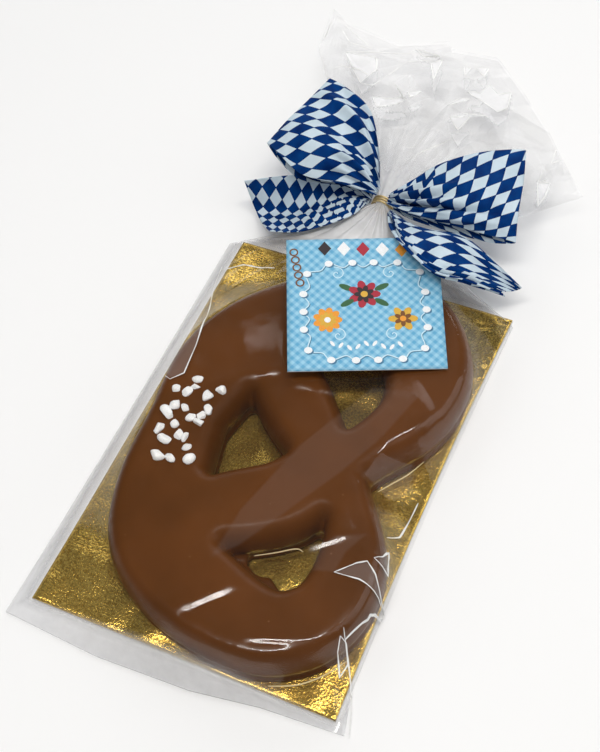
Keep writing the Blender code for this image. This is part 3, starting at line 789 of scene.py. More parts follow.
def close_rings(shell, rings):
    """Side faces between rings of vertices, and a face at either end."""
    for before, after in zip(rings, rings[1:]):
        for j in range(len(before)):
            k = (j + 1) % len(before)
            shell.faces.new((before[j], before[k], after[k], after[j]))
    shell.faces.new(rings[0])
    shell.faces.new(rings[-1][::-1])


def rope_mesh(shell, half):
    """Closed domed rope along its middle line, with rounded ends, added to the bmesh."""
    line = smooth_line(half, ROPE_STEPS)
    ahead = normalised(np.gradient(line[:, :2], axis=0))
    sections = [(line[i, :2], ahead[i], line[i, 2]) for i in range(len(line))]

    def cap(middle, way, width):
        """Narrowing sections that round off an end."""
        return [(middle + way * width * math.sin(angle), way, width * max(math.cos(angle), ROPE_TIP))
                for angle in np.linspace(0.0, math.pi / 2.0, ROPE_CAP_STEPS)[1:]]

    middle, way, width = sections[0]
    start = [(place, way, narrow) for place, _, narrow in cap(middle, -way, width)]
    shares = np.sin(np.linspace(-math.pi / 2.0, math.pi / 2.0, ROPE_SIDES))
    rings = []
    for middle, way, width in start[::-1] + sections + cap(*sections[-1]):
        side = np.array((-way[1], way[0])) * width
        heights = PRETZEL_BOTTOM + PRETZEL_HEIGHT * edge_profile(width * (1.0 - np.abs(shares)))
        rings.append([shell.verts.new((*(middle + side * s), z)) for s, z in zip(shares, heights)])
    close_rings(shell, rings)


def soften(piece, steps):
    """Smooths the piece and applies its modifiers to its mesh."""
    smooth = piece.modifiers.new("soften", "SMOOTH")
    smooth.factor = 0.5
    smooth.iterations = steps
    mesh = bpy.data.meshes.new_from_object(piece.evaluated_get(bpy.context.evaluated_depsgraph_get()))
    piece.modifiers.clear()
    piece.data = mesh
    mesh.name = piece.name


def build_pretzel():
    """Both rope halves and the pool in a hole, welded into one smooth body by a remesh."""
    shell = bmesh.new()
    for half in (ROPE_UPPER, ROPE_LOWER):
        rope_mesh(shell, half)
    close_rings(shell, [[shell.verts.new((px, py, PRETZEL_BOTTOM + lift)) for px, py in POOL]
                        for lift in (0.0, POOL_DEPTH)])
    bmesh.ops.recalc_face_normals(shell, faces=shell.faces)
    shell.transform(Matrix.Scale(MM, 4) @ Matrix.Translation((*PLAN_SHIFT, 0.0)))
    mesh = bpy.data.meshes.new("chocolate_pretzel")
    shell.to_mesh(mesh)
    shell.free()
    pretzel = add_object("chocolate_pretzel", mesh)
    remesh = pretzel.modifiers.new("weld", "REMESH")
    remesh.mode = "VOXEL"
    remesh.voxel_size = ROPE_VOXEL * MM
    soften(pretzel, WELD_SOFTEN_STEPS)
    uneven(pretzel.data)
    soften(pretzel, COAT_SOFTEN_STEPS)
    pretzel.data.materials.append(chocolate_material())
    pretzel.data.shade_smooth()


def uneven(mesh):
    """Fills the creases between the ropes, tucks in the foot and adds slight swells of the coating."""
    place, normal = np.empty((2, len(mesh.vertices) * 3))
    mesh.vertices.foreach_get("co", place)
    mesh.vertices.foreach_get("normal", normal)
    place, normal = place.reshape(-1, 3) / MM, normal.reshape(-1, 3)
    depth = pretzel_depth(place[:, 0] - PLAN_SHIFT[0], place[:, 1] - PLAN_SHIFT[1])
    top = BOARD_TOP + PRETZEL_HEIGHT * edge_profile(depth)
    fill = (depth > FILL_DEPTH) & (normal[:, 2] > FILL_FACING)
    place[:, 2] = np.where(fill, np.maximum(place[:, 2], top), place[:, 2])
    tuck = FOOT_TUCK * unit((FOOT_HEIGHT + BOARD_TOP - place[:, 2]) / FOOT_EDGE)
    sideways = unit(1.0 - np.abs(normal[:, 2]) * 1.5)
    place[:, :2] -= normal[:, :2] * (tuck * sideways)[:, None]
    swell = np.array([sum(height * noise.noise(Vector(p) * rate + Vector(apart))
                          for height, rate, apart in SWELLS) for p in place])
    lift = unit((place[:, 2] - BOARD_TOP) / PRETZEL_HEIGHT)
    mesh.vertices.foreach_set("co", ((place + normal * (swell * lift)[:, None]) * MM).ravel())


def build_nibs():
    """Irregular lumps of sugar, each a rounded many-sided grain pressed into the coating."""
    draw = np.random.default_rng(NIB_SEED)
    shell = bmesh.new()
    for x, y, long_side, short_side, turn in NIBS:
        half_sides = np.array((long_side * NIB_SIZE, short_side * NIB_SIZE, short_side * NIB_FLATNESS)) / 2.0
        centre = Vector((x, y, float(pretzel_height(np.array([x]), np.array([y]))[0]) + BOARD_TOP + NIB_RISE))
        planes = normalised(draw.normal(size=(NIB_PLANES, 3)))
        reach = draw.uniform(*NIB_REACH, NIB_PLANES)
        spin = Matrix.Rotation(math.radians(turn), 3, "Z")
        for vertex in bmesh.ops.create_icosphere(shell, subdivisions=3, radius=1.0)["verts"]:
            way = np.array(vertex.co)
            facing = planes @ way
            cut = np.where(facing > NIB_FACING, reach / np.maximum(facing, NIB_FACING), FAR_AWAY)
            r = min(float(np.sum(cut ** -NIB_SHARPNESS) ** (-1.0 / NIB_SHARPNESS)), NIB_LONGEST)
            r *= 1.0 + NIB_ROUGHNESS * noise.noise(Vector(way) * NIB_ROUGH_RATE + Vector((x, y, 0.0)))
            vertex.co = centre + spin @ Vector(way * r * half_sides)
    shell.verts.index_update()
    faces = [[vertex.index for vertex in face.verts] for face in shell.faces]
    nibs = add_piece("sugar_nibs", [tuple(vertex.co) for vertex in shell.verts], faces, [nib_material()])
    shell.free()
    nibs.data.shade_flat()


# ---------------------------------------------------------------- board

def build_board():
    """Card with gold foil on top, slightly wavy, its right side drawn in by the bag."""
    columns = int(2 * BOARD_HALF_X / BOARD_STEP) + 1
    rows = int(2 * BOARD_HALF_Y / BOARD_STEP) + 1
    u, v = np.meshgrid(np.linspace(-1.0, 1.0, columns), np.linspace(-1.0, 1.0, rows))
    x = u * BOARD_HALF_X - BOARD_WAIST * np.cos(v * math.pi / 2.0) * unit(u) ** 2
    y = v * BOARD_HALF_Y
    wave = sum(height * np.sin(x * rate_x + y * rate_y + phase)
               for height, rate_x, rate_y, phase in BOARD_WAVES)
    edge = np.minimum(BOARD_HALF_X - np.abs(u * BOARD_HALF_X), BOARD_HALF_Y - np.abs(y))
    top = np.minimum(BOARD_TOP - BOARD_SAG + wave - EDGE_DROP * unit(1.0 - edge / EDGE_ROUND), BOARD_TOP)
    points = [np.dstack([x, y, z]).reshape(-1, 3) for z in (top, np.full_like(top, BOARD_BOTTOM))]
    board = add_piece("gold_board", np.concatenate(points), slab_faces(rows, columns),
                      [gold_material(), card_material("board_card", BOARD_CARD)])
    bare_card(board, (rows - 1) * (columns - 1))


# ---------------------------------------------------------------- film

def right_edge(y):
    """Right side of the bag's flat part, drawn in at the middle of its length."""
    share = unit((y + BOARD_HALF_Y) / (2.0 * BOARD_HALF_Y))
    inset = (RIGHT_CORNER_X - RIGHT_WAIST_X) * np.sin(math.pi * share)
    corner = (SEAL_EDGE[-1][0] - RIGHT_CORNER_X) * unit(1.0 - (y - SEAL_EDGE[-1][1]) / SEAL_SPREAD)
    return RIGHT_CORNER_X - inset + corner


def neck_line(side, y):
    """Plan points across the gathered neck."""
    return np.stack([NECK[0] + NECK_RADIUS * np.sin(side * math.pi / 2.0), np.full(len(side), y)], 1)


def flat_plan(columns, body_rows, shoulder_rows):
    """Plan points from the seal to the neck."""
    across = np.linspace(0.0, 1.0, columns + 1)
    seal_x, seal_y = np.array(SEAL_EDGE).T
    start_y = np.interp(seal_x[0] + (seal_x[-1] - seal_x[0]) * across, seal_x, seal_y)
    rows = []
    for share in np.linspace(0.0, 1.0, body_rows + 1):
        y = start_y + (SHOULDER_Y - start_y) * share
        left = LEFT_EDGE_X + (seal_x[0] - LEFT_EDGE_X) * (1.0 - share) ** 4
        rows.append(np.stack([left + (right_edge(y) - left) * across, y], 1))
    shoulder, neck = rows[-1], neck_line(2.0 * across - 1.0, NECK[1] - NECK_HALF_LENGTH)
    rows += [shoulder + (neck - shoulder) * share for share in np.linspace(0.0, 1.0, shoulder_rows + 1)[1:]]
    return np.array(rows)


def flare_plan(side, out):
    """Plan points of the flared mouth, from the neck outwards."""
    shares, corner_x, corner_y = np.array(MOUTH).T
    mouth = np.stack([np.interp(side, shares, corner_x), np.interp(side, shares, corner_y)], 1)
    neck = neck_line(side, NECK[1] + NECK_HALF_LENGTH)
    return neck + (mouth - neck) * out[..., None]


def taut_top(columns, body_rows, shoulder_rows, start, steps):
    """Plan and heights of film drawn over rope and board; each free point settles between its neighbours."""
    plan = flat_plan(columns, body_rows, shoulder_rows)
    x, y = plan[..., 0], plan[..., 1]
    on_board = (np.abs(x) < BOARD_HALF_X) & (np.abs(y) < BOARD_HALF_Y)
    rope = pretzel_height(x, y, FILM_OUTSET)
    obstacle = np.where(on_board, BOARD_TOP, 0.0) + FILM_LIFT
    obstacle = np.maximum(obstacle, np.where(rope > 0.0, BOARD_TOP + ROPE_LIFT + rope, 0.0))
    off_nibs = np.min([np.hypot(x - nib[0], y - nib[1]) for nib in NIBS], axis=0)
    obstacle += NIB_COVER * np.exp(-(np.maximum(off_nibs - NIB_COVER_REACH, 0.0) / NIB_COVER_FADE) ** 2)
    neck_top = NECK[2] + NECK_RADIUS * np.sqrt(1.0 - np.linspace(-1.0, 1.0, columns + 1) ** 2)
    climb = unit((np.arange(len(plan)) - body_rows) / shoulder_rows) ** 1.5
    edge = FILM_EDGE_HEIGHT + (NECK[2] - FILM_EDGE_HEIGHT) * climb
    top = obstacle.copy() if start is None else np.maximum(start, obstacle)
    for _ in range(steps):
        mean = (top[2:, 1:-1] + top[:-2, 1:-1] + top[1:-1, 2:] + top[1:-1, :-2]) / 4.0
        top[1:-1, 1:-1] = np.maximum(obstacle[1:-1, 1:-1], mean)
        top[0] = FILM_EDGE_HEIGHT
        top[-1] = neck_top
        top[:, 0] = edge
        top[:, -1] = edge
    return plan, top


def resample(values, rows, columns):
    """Values of a grid at a finer grid, straight between its points."""
    r, c = [np.linspace(0.0, old - 1.0, new) for old, new in zip(values.shape, (rows, columns))]
    wide = np.array([np.interp(c, np.arange(len(row)), row) for row in values])
    return np.array([np.interp(r, np.arange(len(column)), column) for column in wide.T]).T


def fold(x, y, folds):
    """Sum of straight sharp folds, each (x, y, angle, half length, width, height)."""
    total = np.zeros_like(x)
    for cx, cy, angle, half_length, width, height in folds:
        along = (x - cx) * math.cos(angle) + (y - cy) * math.sin(angle)
        off = (y - cy) * math.cos(angle) - (x - cx) * math.sin(angle)
        steep = np.where(off > 0.0, width, width * FOLD_BACK)
        total += height * unit(1.0 - np.abs(off) / steep) * unit(1.0 - (along / half_length) ** 2)
    return total


def brinks(x, y):
    """Heights of the brinks, each steep on one side and falling slowly on the other."""
    total = np.zeros_like(x)
    for ax, ay, bx, by, width, height in BRINKS:
        length = math.hypot(bx - ax, by - ay)
        along = ((x - ax) * (bx - ax) + (y - ay) * (by - ay)) / length ** 2
        off = ((x - ax) * (by - ay) - (y - ay) * (bx - ax)) / length
        down = unit(np.where(off > 0.0, off / width, -off / BRINK_BACK))
        total += height * (0.5 + 0.5 * np.cos(math.pi * down)) * unit(1.0 - (2.0 * along - 1.0) ** 4)
    return total


def outline_depth(x, y, corners):
    """Distance of plan points inside an outline's nearest side, below zero outside it."""
    near = np.full(x.shape, np.inf)
    odd = np.zeros(x.shape, bool)
    for (ax, ay), (bx, by) in zip(corners, corners[1:] + corners[:1]):
        way = (bx - ax) ** 2 + (by - ay) ** 2
        share = unit(((x - ax) * (bx - ax) + (y - ay) * (by - ay)) / way)
        near = np.minimum(near, np.hypot(x - ax - share * (bx - ax), y - ay - share * (by - ay)))
        crosses = (ay > y) != (by > y)
        odd ^= crosses & (x < ax + (y - ay) * (bx - ax) / (by - ay if by != ay else 1.0))
    return np.where(odd, near, -near)


def deepest(x, y, outlines):
    """Distance of plan points inside the outline that they lie deepest in."""
    return np.max([outline_depth(x, y, outline) for outline in outlines], axis=0)


def facet_field(draw, x, y):
    """Heights and tones over flat triangles between the flare's marks and random places."""
    corners, edges = [], []
    for line in FLARE_FOLDS_AND_HIGHLIGHTS + FLARE_FACETS:
        edges += [(len(corners) + i, len(corners) + i + 1) for i in range(len(line) - 1)]
        corners += [Vector(point) for point in line]
    low_x, high_x = x.min() - FLARE_MARGIN, x.max() + FLARE_MARGIN
    low_y, high_y = y.min() - FLARE_MARGIN, y.max() + FLARE_MARGIN
    corners += [Vector((px, py)) for px in (low_x, high_x) for py in (low_y, high_y)]
    corners += [Vector((draw.uniform(low_x, high_x), draw.uniform(low_y, high_y)))
                for _ in range(FLARE_POINTS)]
    places, _, faces, *_ = geometry.delaunay_2d_cdt(corners, edges, [], 0, 0.01)
    lift = draw.uniform(-FLARE_BUCKLE, FLARE_BUCKLE, len(places))
    heights, tones = np.zeros_like(x), np.zeros_like(x)
    for face in faces:
        (ax, ay), (bx, by), (cx, cy) = (places[i] for i in face)
        area = (bx - ax) * (cy - ay) - (cx - ax) * (by - ay)
        b = ((x - ax) * (cy - ay) - (cx - ax) * (y - ay)) / area
        c = ((bx - ax) * (y - ay) - (x - ax) * (by - ay)) / area
        inside = (b >= 0.0) & (c >= 0.0) & (b + c <= 1.0)
        heights[inside] = (lift[face[0]] * (1.0 - b - c) + lift[face[1]] * b + lift[face[2]] * c)[inside]
        tones[inside] = draw.uniform(-FLARE_TONES, FLARE_TONES)
    return heights, tones


def random_folds(draw, count, centre, spread, length, width, height, wobble=None):
    """Folds round a place, in any direction, or pointing to the neck within a wobble."""
    made = []
    for _ in range(count):
        cx, cy = [middle + draw.uniform(-reach, reach) for middle, reach in zip(centre, spread)]
        angle = draw.uniform(0.0, math.pi)
        if wobble is not None:
            angle = math.atan2(cy - NECK[1], cx - NECK[0]) + draw.normal(0.0, wobble)
        made.append((cx, cy, angle, draw.uniform(*length), draw.uniform(*width), draw.uniform(*height)))
    return made


def flat_layers(draw, side):
    """Plan, upper and lower heights of the flat part, and the share of each row's way to the neck."""
    coarse = [count // COARSE_SHARE for count in (FILM_COLUMNS, FILM_BODY_ROWS, FILM_SHOULDER_ROWS)]
    _, rough = taut_top(*coarse, None, COARSE_RELAX_STEPS)
    flat_rows = FILM_BODY_ROWS + FILM_SHOULDER_ROWS + 1
    plan, top = taut_top(FILM_COLUMNS, FILM_BODY_ROWS, FILM_SHOULDER_ROWS,
                         resample(rough, flat_rows, FILM_COLUMNS + 1), FINE_RELAX_STEPS)
    x, y = plan[..., 0], plan[..., 1]
    rows_in = unit((np.arange(flat_rows) - FILM_BODY_ROWS) / FILM_SHOULDER_ROWS)[:, None]
    inner = 1.0 - np.abs(side) ** 8
    body_folds = random_folds(draw, *BODY_FOLDS)
    shoulder_folds = random_folds(draw, *SHOULDER_FOLDS)
    relief = fold(x, y, body_folds) * (1.0 - rows_in) + fold(x, y, shoulder_folds) * (1.0 - rows_in ** 3)
    relief = (relief + brinks(x, y)) * unit((y - SEAL_FLAT_Y) / SEAL_FLAT_FADE)
    gathers = np.abs(np.sin(side * math.pi * GATHERS + 0.7 * np.sin(side * 9.0))) - 0.5
    top = top + (relief + gathers * GATHER_TOP * np.sin(math.pi * rows_in ** GATHER_CLIMB)) * inner
    neck_low = NECK[2] - NECK_RADIUS * np.sqrt(1.0 - side ** 2)
    bottom = neck_low * rows_in ** GATHER_CLIMB + FILM_FLOOR * (1.0 - rows_in)
    bottom = np.maximum(bottom + gathers * GATHER_LOW * np.sin(math.pi * rows_in) * inner, FILM_FLOOR)
    top = np.maximum(top, bottom + LAYER_GAP * inner)
    for end in (0, -1):
        top[:, end] = bottom[:, end] = top[:, end] * 0.5
    return x, y, top, bottom, rows_in


def flare_layers(draw, side, out):
    """Plan, upper and lower heights of the flared mouth, and the random tones of both layers."""
    plan = flare_plan(side, out)
    x, y = plan[..., 0], plan[..., 1]
    gather = np.sin(side * math.pi * FLARE_PLEATS + 0.6) * np.sin(math.pi * np.minimum(out / 0.7, 1.0))
    bend = np.sin(side * math.pi * FLARE_BENDS + 0.9) * out
    middle = NECK[2] + FLARE_RISE * out + FLARE_PLEAT * gather + FLARE_BEND * bend
    round_share = np.sqrt(1.0 - side ** 2)
    gap = NECK_RADIUS * (1.0 - out) ** 2 + FLARE_GAP * out * np.sin(math.pi * out) + MOUTH_GAP * out
    layers, tones = [], []
    for sign in (1.0, -1.0):
        buckle, tone = facet_field(draw, x, y)
        tones.append(tone)
        radial = fold(x, y, random_folds(draw, *FLARE_FOLDS)) * (1.0 - out)
        layers.append(middle + sign * gap * round_share
                      + (radial + buckle) * unit(out * 4.0) * (1.0 - np.abs(side) ** 10))
    return x, y, np.maximum(layers[0], layers[1] + FLARE_LAYER_GAP * round_share), layers[1], tones


def build_film():
    """Bag of clear film: taut over the pretzel, gathered at the neck, then flared to its open mouth."""
    draw = np.random.default_rng(CREASE_SEED)
    side = np.linspace(-1.0, 1.0, FILM_COLUMNS + 1)
    out = np.linspace(0.0, 1.0, FILM_FLARE_ROWS + 1)[:, None]
    x, y, top, bottom, rows_in = flat_layers(draw, side)
    fx, fy, upper, lower, tones = flare_layers(draw, side, out)
    points_top = np.concatenate([np.dstack([x, y, top]), np.dstack([fx, fy, upper])])
    points_low = np.concatenate([np.dstack([x, y, bottom]), np.dstack([fx, fy, lower])])
    rows, columns = points_top.shape[:2]
    upper_faces = grid_faces(rows, columns)
    faces = upper_faces + grid_faces(rows, columns, rows * columns, flip=True)
    points = np.concatenate([points_top.reshape(-1, 3), points_low.reshape(-1, 3)])
    film = add_piece("clear_film", points, faces, [film_material()], ("clear_bag",))

    def mark(name, upper_values, lower_values):
        values = np.concatenate([upper_values.ravel(), lower_values.ravel()])
        film.data.attributes.new(name, "FLOAT", "POINT").data.foreach_set("value", values)

    # Zones of painted reflection on the upper layer, as depths inside their outlines.
    for name, outlines in (("painted_reflection", PAINTED_REFLECTION_ZONES), ("painted_facet", PAINTED_FACETS + PAINTED_VEILS)):
        depth = deepest(points_top[..., 0], points_top[..., 1], outlines)
        mark(name, np.clip(depth, -FAR_AWAY, FAR_AWAY), np.full_like(depth, -FAR_AWAY))

    # Milky share: a trace on the taut part that rises to the right as painted sheen, more in the margins, the
    # gathers and the flare, and whiter flare facets as painted reflection.
    margin = unit(np.maximum(np.abs(x) - BOARD_HALF_X, np.abs(y) - BOARD_HALF_Y) / MARGIN_FADE)
    trace_and_painted_sheen = MILK_LEFT + (PAINTED_SHEEN_RIGHT - MILK_LEFT) * unit(0.5 + x / PAINTED_SHEEN_SPREAD)
    milk_flat = trace_and_painted_sheen + MILK_MARGIN * margin * (1.0 - rows_in) + MILK_NECK * rows_in ** 0.4
    in_painted_facet = deepest(fx, fy, FLARE_FACETS) > 0.0
    milk_flare = MILK_FLARE + MILK_NECK * unit(1.0 - out * 3.0) + FLARE_FACET_PAINT * in_painted_facet
    mark("milk", *[np.concatenate([milk_flat * share, milk_flare + tone])
                   for share, tone in zip((1.0, 0.5), tones)])
    build_folds_and_highlights(points_top.reshape(-1, 3), upper_faces)


class Relief:
    """Collects thin closed shapes; each face keeps the number of its material."""

    def __init__(self):
        self.points, self.faces, self.tones = [], [], []

    def add(self, faces, tone):
        self.faces += faces
        self.tones += [tone] * len(faces)

    def plate(self, outline, low, high, tone):
        """Flat plate with an outline that runs against the clock."""
        count, first = len(outline), len(self.points)
        self.points += [(px, py, z) for z in (high, low) for px, py in outline]
        top = list(range(first, first + count))
        sides = [[a, a + count, b + count, b] for a, b in zip(top, top[1:] + top[:1])]
        self.add([top, [i + count for i in reversed(top)]] + sides, tone)

    def strip(self, line, halves, low, high, tone, surface=None):
        """Thin strip along a line of plan points, lying on the surface (a function of x and y) if given."""
        line = np.asarray(line, float)
        ahead = normalised(np.gradient(line, axis=0))
        side = np.stack([-ahead[:, 1], ahead[:, 0]], 1) * np.asarray(halves, float)[:, None]
        first = len(self.points)
        for (lx, ly), (rx, ry) in zip(line + side, line - side):
            left, right = (surface(lx, ly), surface(rx, ry)) if surface else (0.0, 0.0)
            self.points += [(lx, ly, left + low), (rx, ry, right + low), (rx, ry, right + high),
                            (lx, ly, left + high)]
        self.add(tube_faces(len(line), 4, first), tone)

    def piece(self, name, materials, slot, move=np.asarray):
        """Mesh object of all the shapes, its points first moved by the given function."""
        made = add_piece(name, move(self.points), self.faces, materials)
        made.data.polygons.foreach_set("material_index", self.tones)
        made.data.shade_flat()


def dense_line(corners, step):
    """Points along straight lines between the corners, about a step apart."""
    corners = np.array(corners, float)
    line = [corners[0]]
    for start, end in zip(corners, corners[1:]):
        count = max(1, int(round(np.linalg.norm(end - start) / step)))
        line += [start + (end - start) * (i + 1) / count for i in range(count)]
    return np.array(line)


def build_folds_and_highlights(points, faces):
    """White lines of the film as thin slivers on its upper layer, each folded film's whitening with a painted
    highlight, and warm painted highlights along the rims.
    """
    tree = BVHTree.FromPolygons([tuple(point) for point in points], faces)

    def surface(px, py):
        hit = tree.ray_cast(Vector((px, py, LINE_CAST)), Vector((0.0, 0.0, -1.0)))[0]
        return hit[2] if hit else FILM_EDGE_HEIGHT

    fold_and_highlight_marks = Relief()
    lines = [(line, FLARE_LINE_WIDTH) for line in FLARE_FOLDS_AND_HIGHLIGHTS]
    lines += [(painted_facet + painted_facet[:1], FLARE_LINE_WIDTH) for painted_facet in FLARE_FACETS]
    lines += [(painted_facet + painted_facet[:1], FACET_LINE_WIDTH) for painted_facet in PAINTED_FACETS]
    for corners, width in lines + list(FOLDS_AND_HIGHLIGHTS):
        line = dense_line(corners, LINE_STEP)
        share = np.linspace(0.0, 1.0, len(line))
        taper = 0.35 + 0.65 * np.sin(math.pi * share) ** 0.5
        wander = 0.75 + 0.25 * np.sin(share * 9.0 + line[:, 0])
        fold_and_highlight_marks.strip(line, 0.5 * width * taper * wander, LINE_LOW, LINE_HIGH, 0, surface)
    for corners, height in PAINTED_RIM_HIGHLIGHTS:
        line = smooth_line(corners, RIM_STEPS)
        halves = 0.5 * RIM_WIDTH * np.sin(np.linspace(RIM_TIP, math.pi - RIM_TIP, len(line))) ** 0.5
        fold_and_highlight_marks.strip(line, halves, height, height + LINE_HIGH, 1)
    fold_and_highlight_marks.piece("film_folds_and_highlights", [fold_and_highlight_material(*tone) for tone in FOLD_AND_HIGHLIGHT_TONES], "film")


# ---------------------------------------------------------------- ribbon and tie

def pleat_reach(middle, normal, wave, fullness, along):
    """Height of the pleats in each row, so that the row nears the ribbon's width where there is room."""
    heights = np.linspace(0.0, PLEAT_LIMIT, 16)
    lengths = []
    for height in heights:
        line = middle + normal * (wave * height)[None, :, None]
        lengths.append(np.linalg.norm(np.diff(line, axis=1), axis=2).sum(1))
    lengths = np.maximum.accumulate(lengths)
    room = PINCH_PLEAT + (PLEAT_LIMIT - PINCH_PLEAT) * unit(along / PINCH_REACH)
    found = [np.interp(fullness * RIBBON_WIDTH, column, heights) for column in lengths.T]
    return np.minimum(np.array(found), room)


def build_band(name, sections, turn, node, pleats, fullness, valleys, lozenge):
    """Thin woven band lofted through cross sections.

    Pleats are (count, first share, last share) across. Each valley is a long fold of the shown
    half as (share across, depth, half width as a share).
    """
    sections = np.array(sections, float)
    lines = np.array([smooth_line(sections[:, k], RIBBON_ALONG) for k in range(sections.shape[1])])
    steps = RIBBON_ACROSS // (sections.shape[1] - 1)
    middle = np.array([smooth_line(lines[:, i], steps) for i in range(lines.shape[1])])
    normal = normalised(np.cross(np.gradient(middle, axis=0), np.gradient(middle, axis=1)))
    rows, columns = middle.shape[:2]
    run = np.concatenate([[0.0], np.cumsum(np.linalg.norm(np.diff(middle[:, columns // 2], axis=0), axis=1))])
    share, done = np.linspace(0.0, 1.0, columns), run / run[-1]
    count, first, last = pleats
    local = unit((share - first) / (last - first))
    wave = np.sin(local * math.pi * 2.0 * count) * np.sin(local * math.pi) ** 0.6
    loop = name.startswith("bow_loop")
    ends = np.minimum(run, run[-1] - run) if loop else run
    open_share = np.abs(2.0 * done - 1.0) if loop else 1.0 - done
    height = pleat_reach(middle, normal, wave, fullness, ends) * unit(CALM_LEAST + open_share / CALM_SHARE)
    shown = unit((done - 0.5) * VALLEY_RISE) * unit(ends / PINCH_REACH)
    dip = sum(depth * np.exp(-((share - at) / half_width) ** 2) for at, depth, half_width in valleys)
    middle = middle + normal * (wave[None, :] * height[:, None] + dip * shown[:, None])[..., None]
    reach = normal * RIBBON_THICKNESS / 2.0
    uv = np.dstack(np.meshgrid(share * RIBBON_WIDTH, run)).reshape(-1, 2)
    points = np.concatenate([(middle + reach).reshape(-1, 3), (middle - reach).reshape(-1, 3)])
    printed = ribbon_material(name + "_print", turn, lozenge)
    band = add_piece(name, points, slab_faces(rows, columns), [printed], (node,),
                     np.concatenate([uv, uv]))


def build_tie():
    """Gold-coloured wire wound round the neck."""
    radius = NECK_RADIUS + TIE_CLEARANCE + TIE_WIRE_RADIUS
    share = np.linspace(0.0, 1.0, TIE_TURNS * TIE_STEPS + 1)
    angle = 2.0 * math.pi * TIE_TURNS * share
    path = np.stack([radius * np.cos(angle), TIE_WIDTH * (share - 0.5), radius * np.sin(angle)], 1) + NECK
    ahead = normalised(np.gradient(path, axis=0))
    first = normalised(np.cross(ahead, (0.0, 1.0, 0.0)))
    second = np.cross(ahead, first)
    points = np.stack([path + TIE_WIRE_RADIUS * (first * math.cos(a) + second * math.sin(a))
                       for a in circle(TIE_SIDES)], 1)
    add_piece("twist_tie", points.reshape(-1, 3), tube_faces(len(path), TIE_SIDES), [wire_material()],
              ("neck_tie",))


# ---------------------------------------------------------------- tag

def on_tag(points):
    """Points of the tag's plane, bent by its slight bow, in place."""
    turn = np.array(Euler([math.radians(angle) for angle in TAG_TURN_DEGREES]).to_matrix())
    bent = np.array(points, float)
    bent[:, 2] += TAG_BOW * ((2.0 * bent[:, 1] / TAG_SIDE) ** 2 - 0.5)
    return bent @ turn.T + TAG_CENTRE


def on_print(points):
    """Points of the print, measured up from the card's face, in place."""
    return on_tag(np.array(points) + (0.0, 0.0, TAG_THICKNESS / 2.0))


def build_tag():
    """Square printed card, slightly bowed."""
    share = np.linspace(-0.5, 0.5, TAG_POINTS) * TAG_SIDE
    u, v = np.meshgrid(share, share)
    flat = np.concatenate([np.dstack([u, v, np.full_like(u, sign * TAG_THICKNESS / 2.0)]).reshape(-1, 3)
                           for sign in (1.0, -1.0)])
    looks = [tag_material(), card_material("tag_card", TAG_CARD)]
    tag = add_piece("printed_tag", on_tag(flat), slab_faces(TAG_POINTS, TAG_POINTS), looks,
                    ("square_tag",), flat[:, :2])
    bare_card(tag, (TAG_POINTS - 1) ** 2)


def ring_points(cx, cy, radius, count=12, squash=1.0, turn=0.0):
    """Points of a circle or an ellipse, against the clock."""
    angles = circle(count)
    px, py = radius * np.cos(angles), radius * squash * np.sin(angles)
    c, s = math.cos(math.radians(turn)), math.sin(math.radians(turn))
    return [(cx + a * c - b * s, cy + a * s + b * c) for a, b in zip(px, py)]


def around(cx, cy, radius, turn):
    """Point at a distance from a middle, turned by degrees from +X."""
    return cx + radius * math.cos(math.radians(turn)), cy + radius * math.sin(math.radians(turn))


class Print(Relief):
    """Thin films of ink over the card's face, each in its layer."""

    def fill(self, outline, ink, layer=0):
        low = PRINT_LOW + PRINT_LAYER * layer
        self.plate(outline, low, low + PRINT_FILM, list(INKS).index(ink))

    def stroke(self, line, width, ink, layer=0):
        low = PRINT_LOW + PRINT_LAYER * layer
        self.strip(line, np.full(len(line), width / 2.0), low, low + PRINT_FILM, list(INKS).index(ink))

    def flower(self, cx, cy, radius, petals, inks):
        """Open flower: outer petals, inner petals and a middle, each above the last."""
        for ring, (reach, ink) in enumerate(zip((radius, INNER_PETALS * radius), inks)):
            for k in range(petals):
                turn = 360.0 * (k + 0.5 * ring) / petals
                petal = ring_points(*around(cx, cy, reach * 0.58, turn), reach * 0.42, 12, 0.62, turn)
                self.fill(petal, ink, 2 * ring + k % 2)
        self.fill(ring_points(cx, cy, radius * 0.22), inks[2], 4)


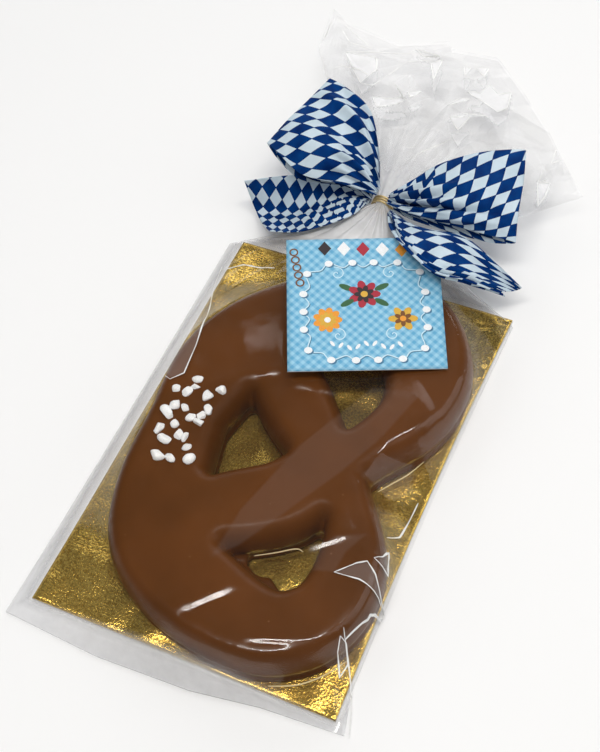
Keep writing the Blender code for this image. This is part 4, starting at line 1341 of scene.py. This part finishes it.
def build_print():
    """Print on the tag: a beaded garland with curls, a row of diamonds, small rings, flowers and leaves."""
    art = Print()
    angles = np.linspace(0.0, 2.0 * math.pi, BEAD_EVERY * GARLAND_TURNS + 1)
    square = (np.abs(np.cos(angles)) ** 5 + np.abs(np.sin(angles)) ** 5) ** -0.2
    reach = GARLAND * square * (1.0 + GARLAND_WAVE * np.cos(GARLAND_TURNS * angles))
    path = np.stack([reach * np.cos(angles), GARLAND_SQUASH * reach * np.sin(angles) - GARLAND_DROP], 1)
    art.stroke(path + THREAD_SHADE, SHADE_WIDTH, "shade")
    art.stroke(path, THREAD_WIDTH, "thread", 1)
    for bx, by in path[:-1:BEAD_EVERY]:
        art.fill(ring_points(bx + BEAD_SHADE[0], by + BEAD_SHADE[1], BEAD, 12, 0.85), "shade", 2)
        art.fill(ring_points(bx, by, BEAD, 12, 0.9), "white", 3)
    coil = np.linspace(0.2, 2.6 * math.pi, 36)
    for cx, cy, side in CURLS:
        reach = CURL_PITCH * coil
        art.stroke(np.stack([cx + side * reach * np.cos(coil), cy + reach * np.sin(coil)], 1), 0.32, "thread")
    half_x, half_y = DIAMOND
    for k, ink in enumerate(DIAMONDS):
        px, py = -13.0 + 6.6 * k, 22.3 - 0.25 * k
        art.fill([(px + half_x, py), (px, py + half_y), (px - half_x, py), (px, py - half_y)], ink, 4)
    for k in range(SMALL_RINGS):
        ring = ring_points(-23.6 + 0.5 * k, 21.0 - 3.1 * k, SMALL_RING, 20)
        art.stroke(np.array(ring + ring[:2]), 0.5, "brown", 4)
    for turn in LEAF_TURNS:
        art.fill(ring_points(*around(*FLOWERS[0][:2], LEAF_REACH, turn), 2.7, 12, 0.4, turn), "leaf")
    for flower in FLOWERS:
        art.flower(*flower)
    for k in range(LEAFLETS):
        middle = (-11.2 + 2.8 * k, -16.6 + 0.9 * math.cos(1.4 * k))
        art.fill(ring_points(*middle, 1.25, 10, 0.45, 55.0 if k % 2 else -55.0), "white")
    art.piece("tag_print", [ink_material(name) for name in INKS], "tag", on_print)


# ---------------------------------------------------------------- stage

def direction(azimuth, elevation):
    """Unit vector at an azimuth from +X and an elevation, in degrees."""
    a, e = math.radians(azimuth), math.radians(elevation)
    return Vector((math.cos(a) * math.cos(e), math.sin(a) * math.cos(e), math.sin(e)))


def build_stage():
    """Pale floor, soft lights and the camera."""
    bpy.ops.mesh.primitive_plane_add(size=FLOOR_SIZE, location=(0.0, 0.0, FLOOR_Z))
    floor = bpy.context.active_object
    floor.name = "studio_floor"
    look = Shading("pale_floor")
    look.set(Base_Color=FLOOR_TONE, Roughness=0.9, Specular_IOR_Level=0.0)
    floor.data.materials.append(look.material)

    scene = bpy.context.scene
    scene.world = bpy.data.worlds.new("studio")
    scene.world.use_nodes = True
    sky = scene.world.node_tree.nodes["Background"]
    sky.inputs["Color"].default_value = SKY_TONE
    sky.inputs["Strength"].default_value = SKY_STRENGTH
    scene.view_settings.view_transform = "Standard"

    for name, azimuth, elevation, distance, width, height, watts, tone, mirrored in LIGHTS:
        light = bpy.data.lights.new(name, "AREA")
        light.shape = "RECTANGLE"
        light.size, light.size_y, light.energy, light.color = width, height, watts, tone
        lamp = bpy.data.objects.new(name, light)
        lamp.visible_glossy = mirrored
        way = direction(azimuth, elevation)
        lamp.location = way * distance
        lamp.rotation_euler = way.to_track_quat("Z", "Y").to_euler()
        scene.collection.objects.link(lamp)

    camera = bpy.data.objects.new("camera", bpy.data.cameras.new("camera"))
    camera.data.sensor_width = SENSOR
    camera.data.lens = CAMERA_LENS_PIXELS * SENSOR / PHOTO_LONG_SIDE
    back = direction(CAMERA_AZIMUTH - 90.0, CAMERA_ELEVATION)
    aim = Vector(CAMERA_AIM) + Vector((*PLAN_SHIFT, 0.0))
    turn = back.to_track_quat("Z", "Y").to_matrix() @ Matrix.Rotation(math.radians(CAMERA_ROLL), 3, "Z")
    camera.matrix_world = Matrix.Translation((aim + back * CAMERA_DISTANCE) * MM) @ turn.to_4x4()
    scene.collection.objects.link(camera)
    scene.camera = camera


build_pretzel()
build_nibs()
build_board()
build_film()
for ribbon in RIBBONS:
    build_band(*ribbon)
build_tie()
build_tag()
build_print()
build_stage()
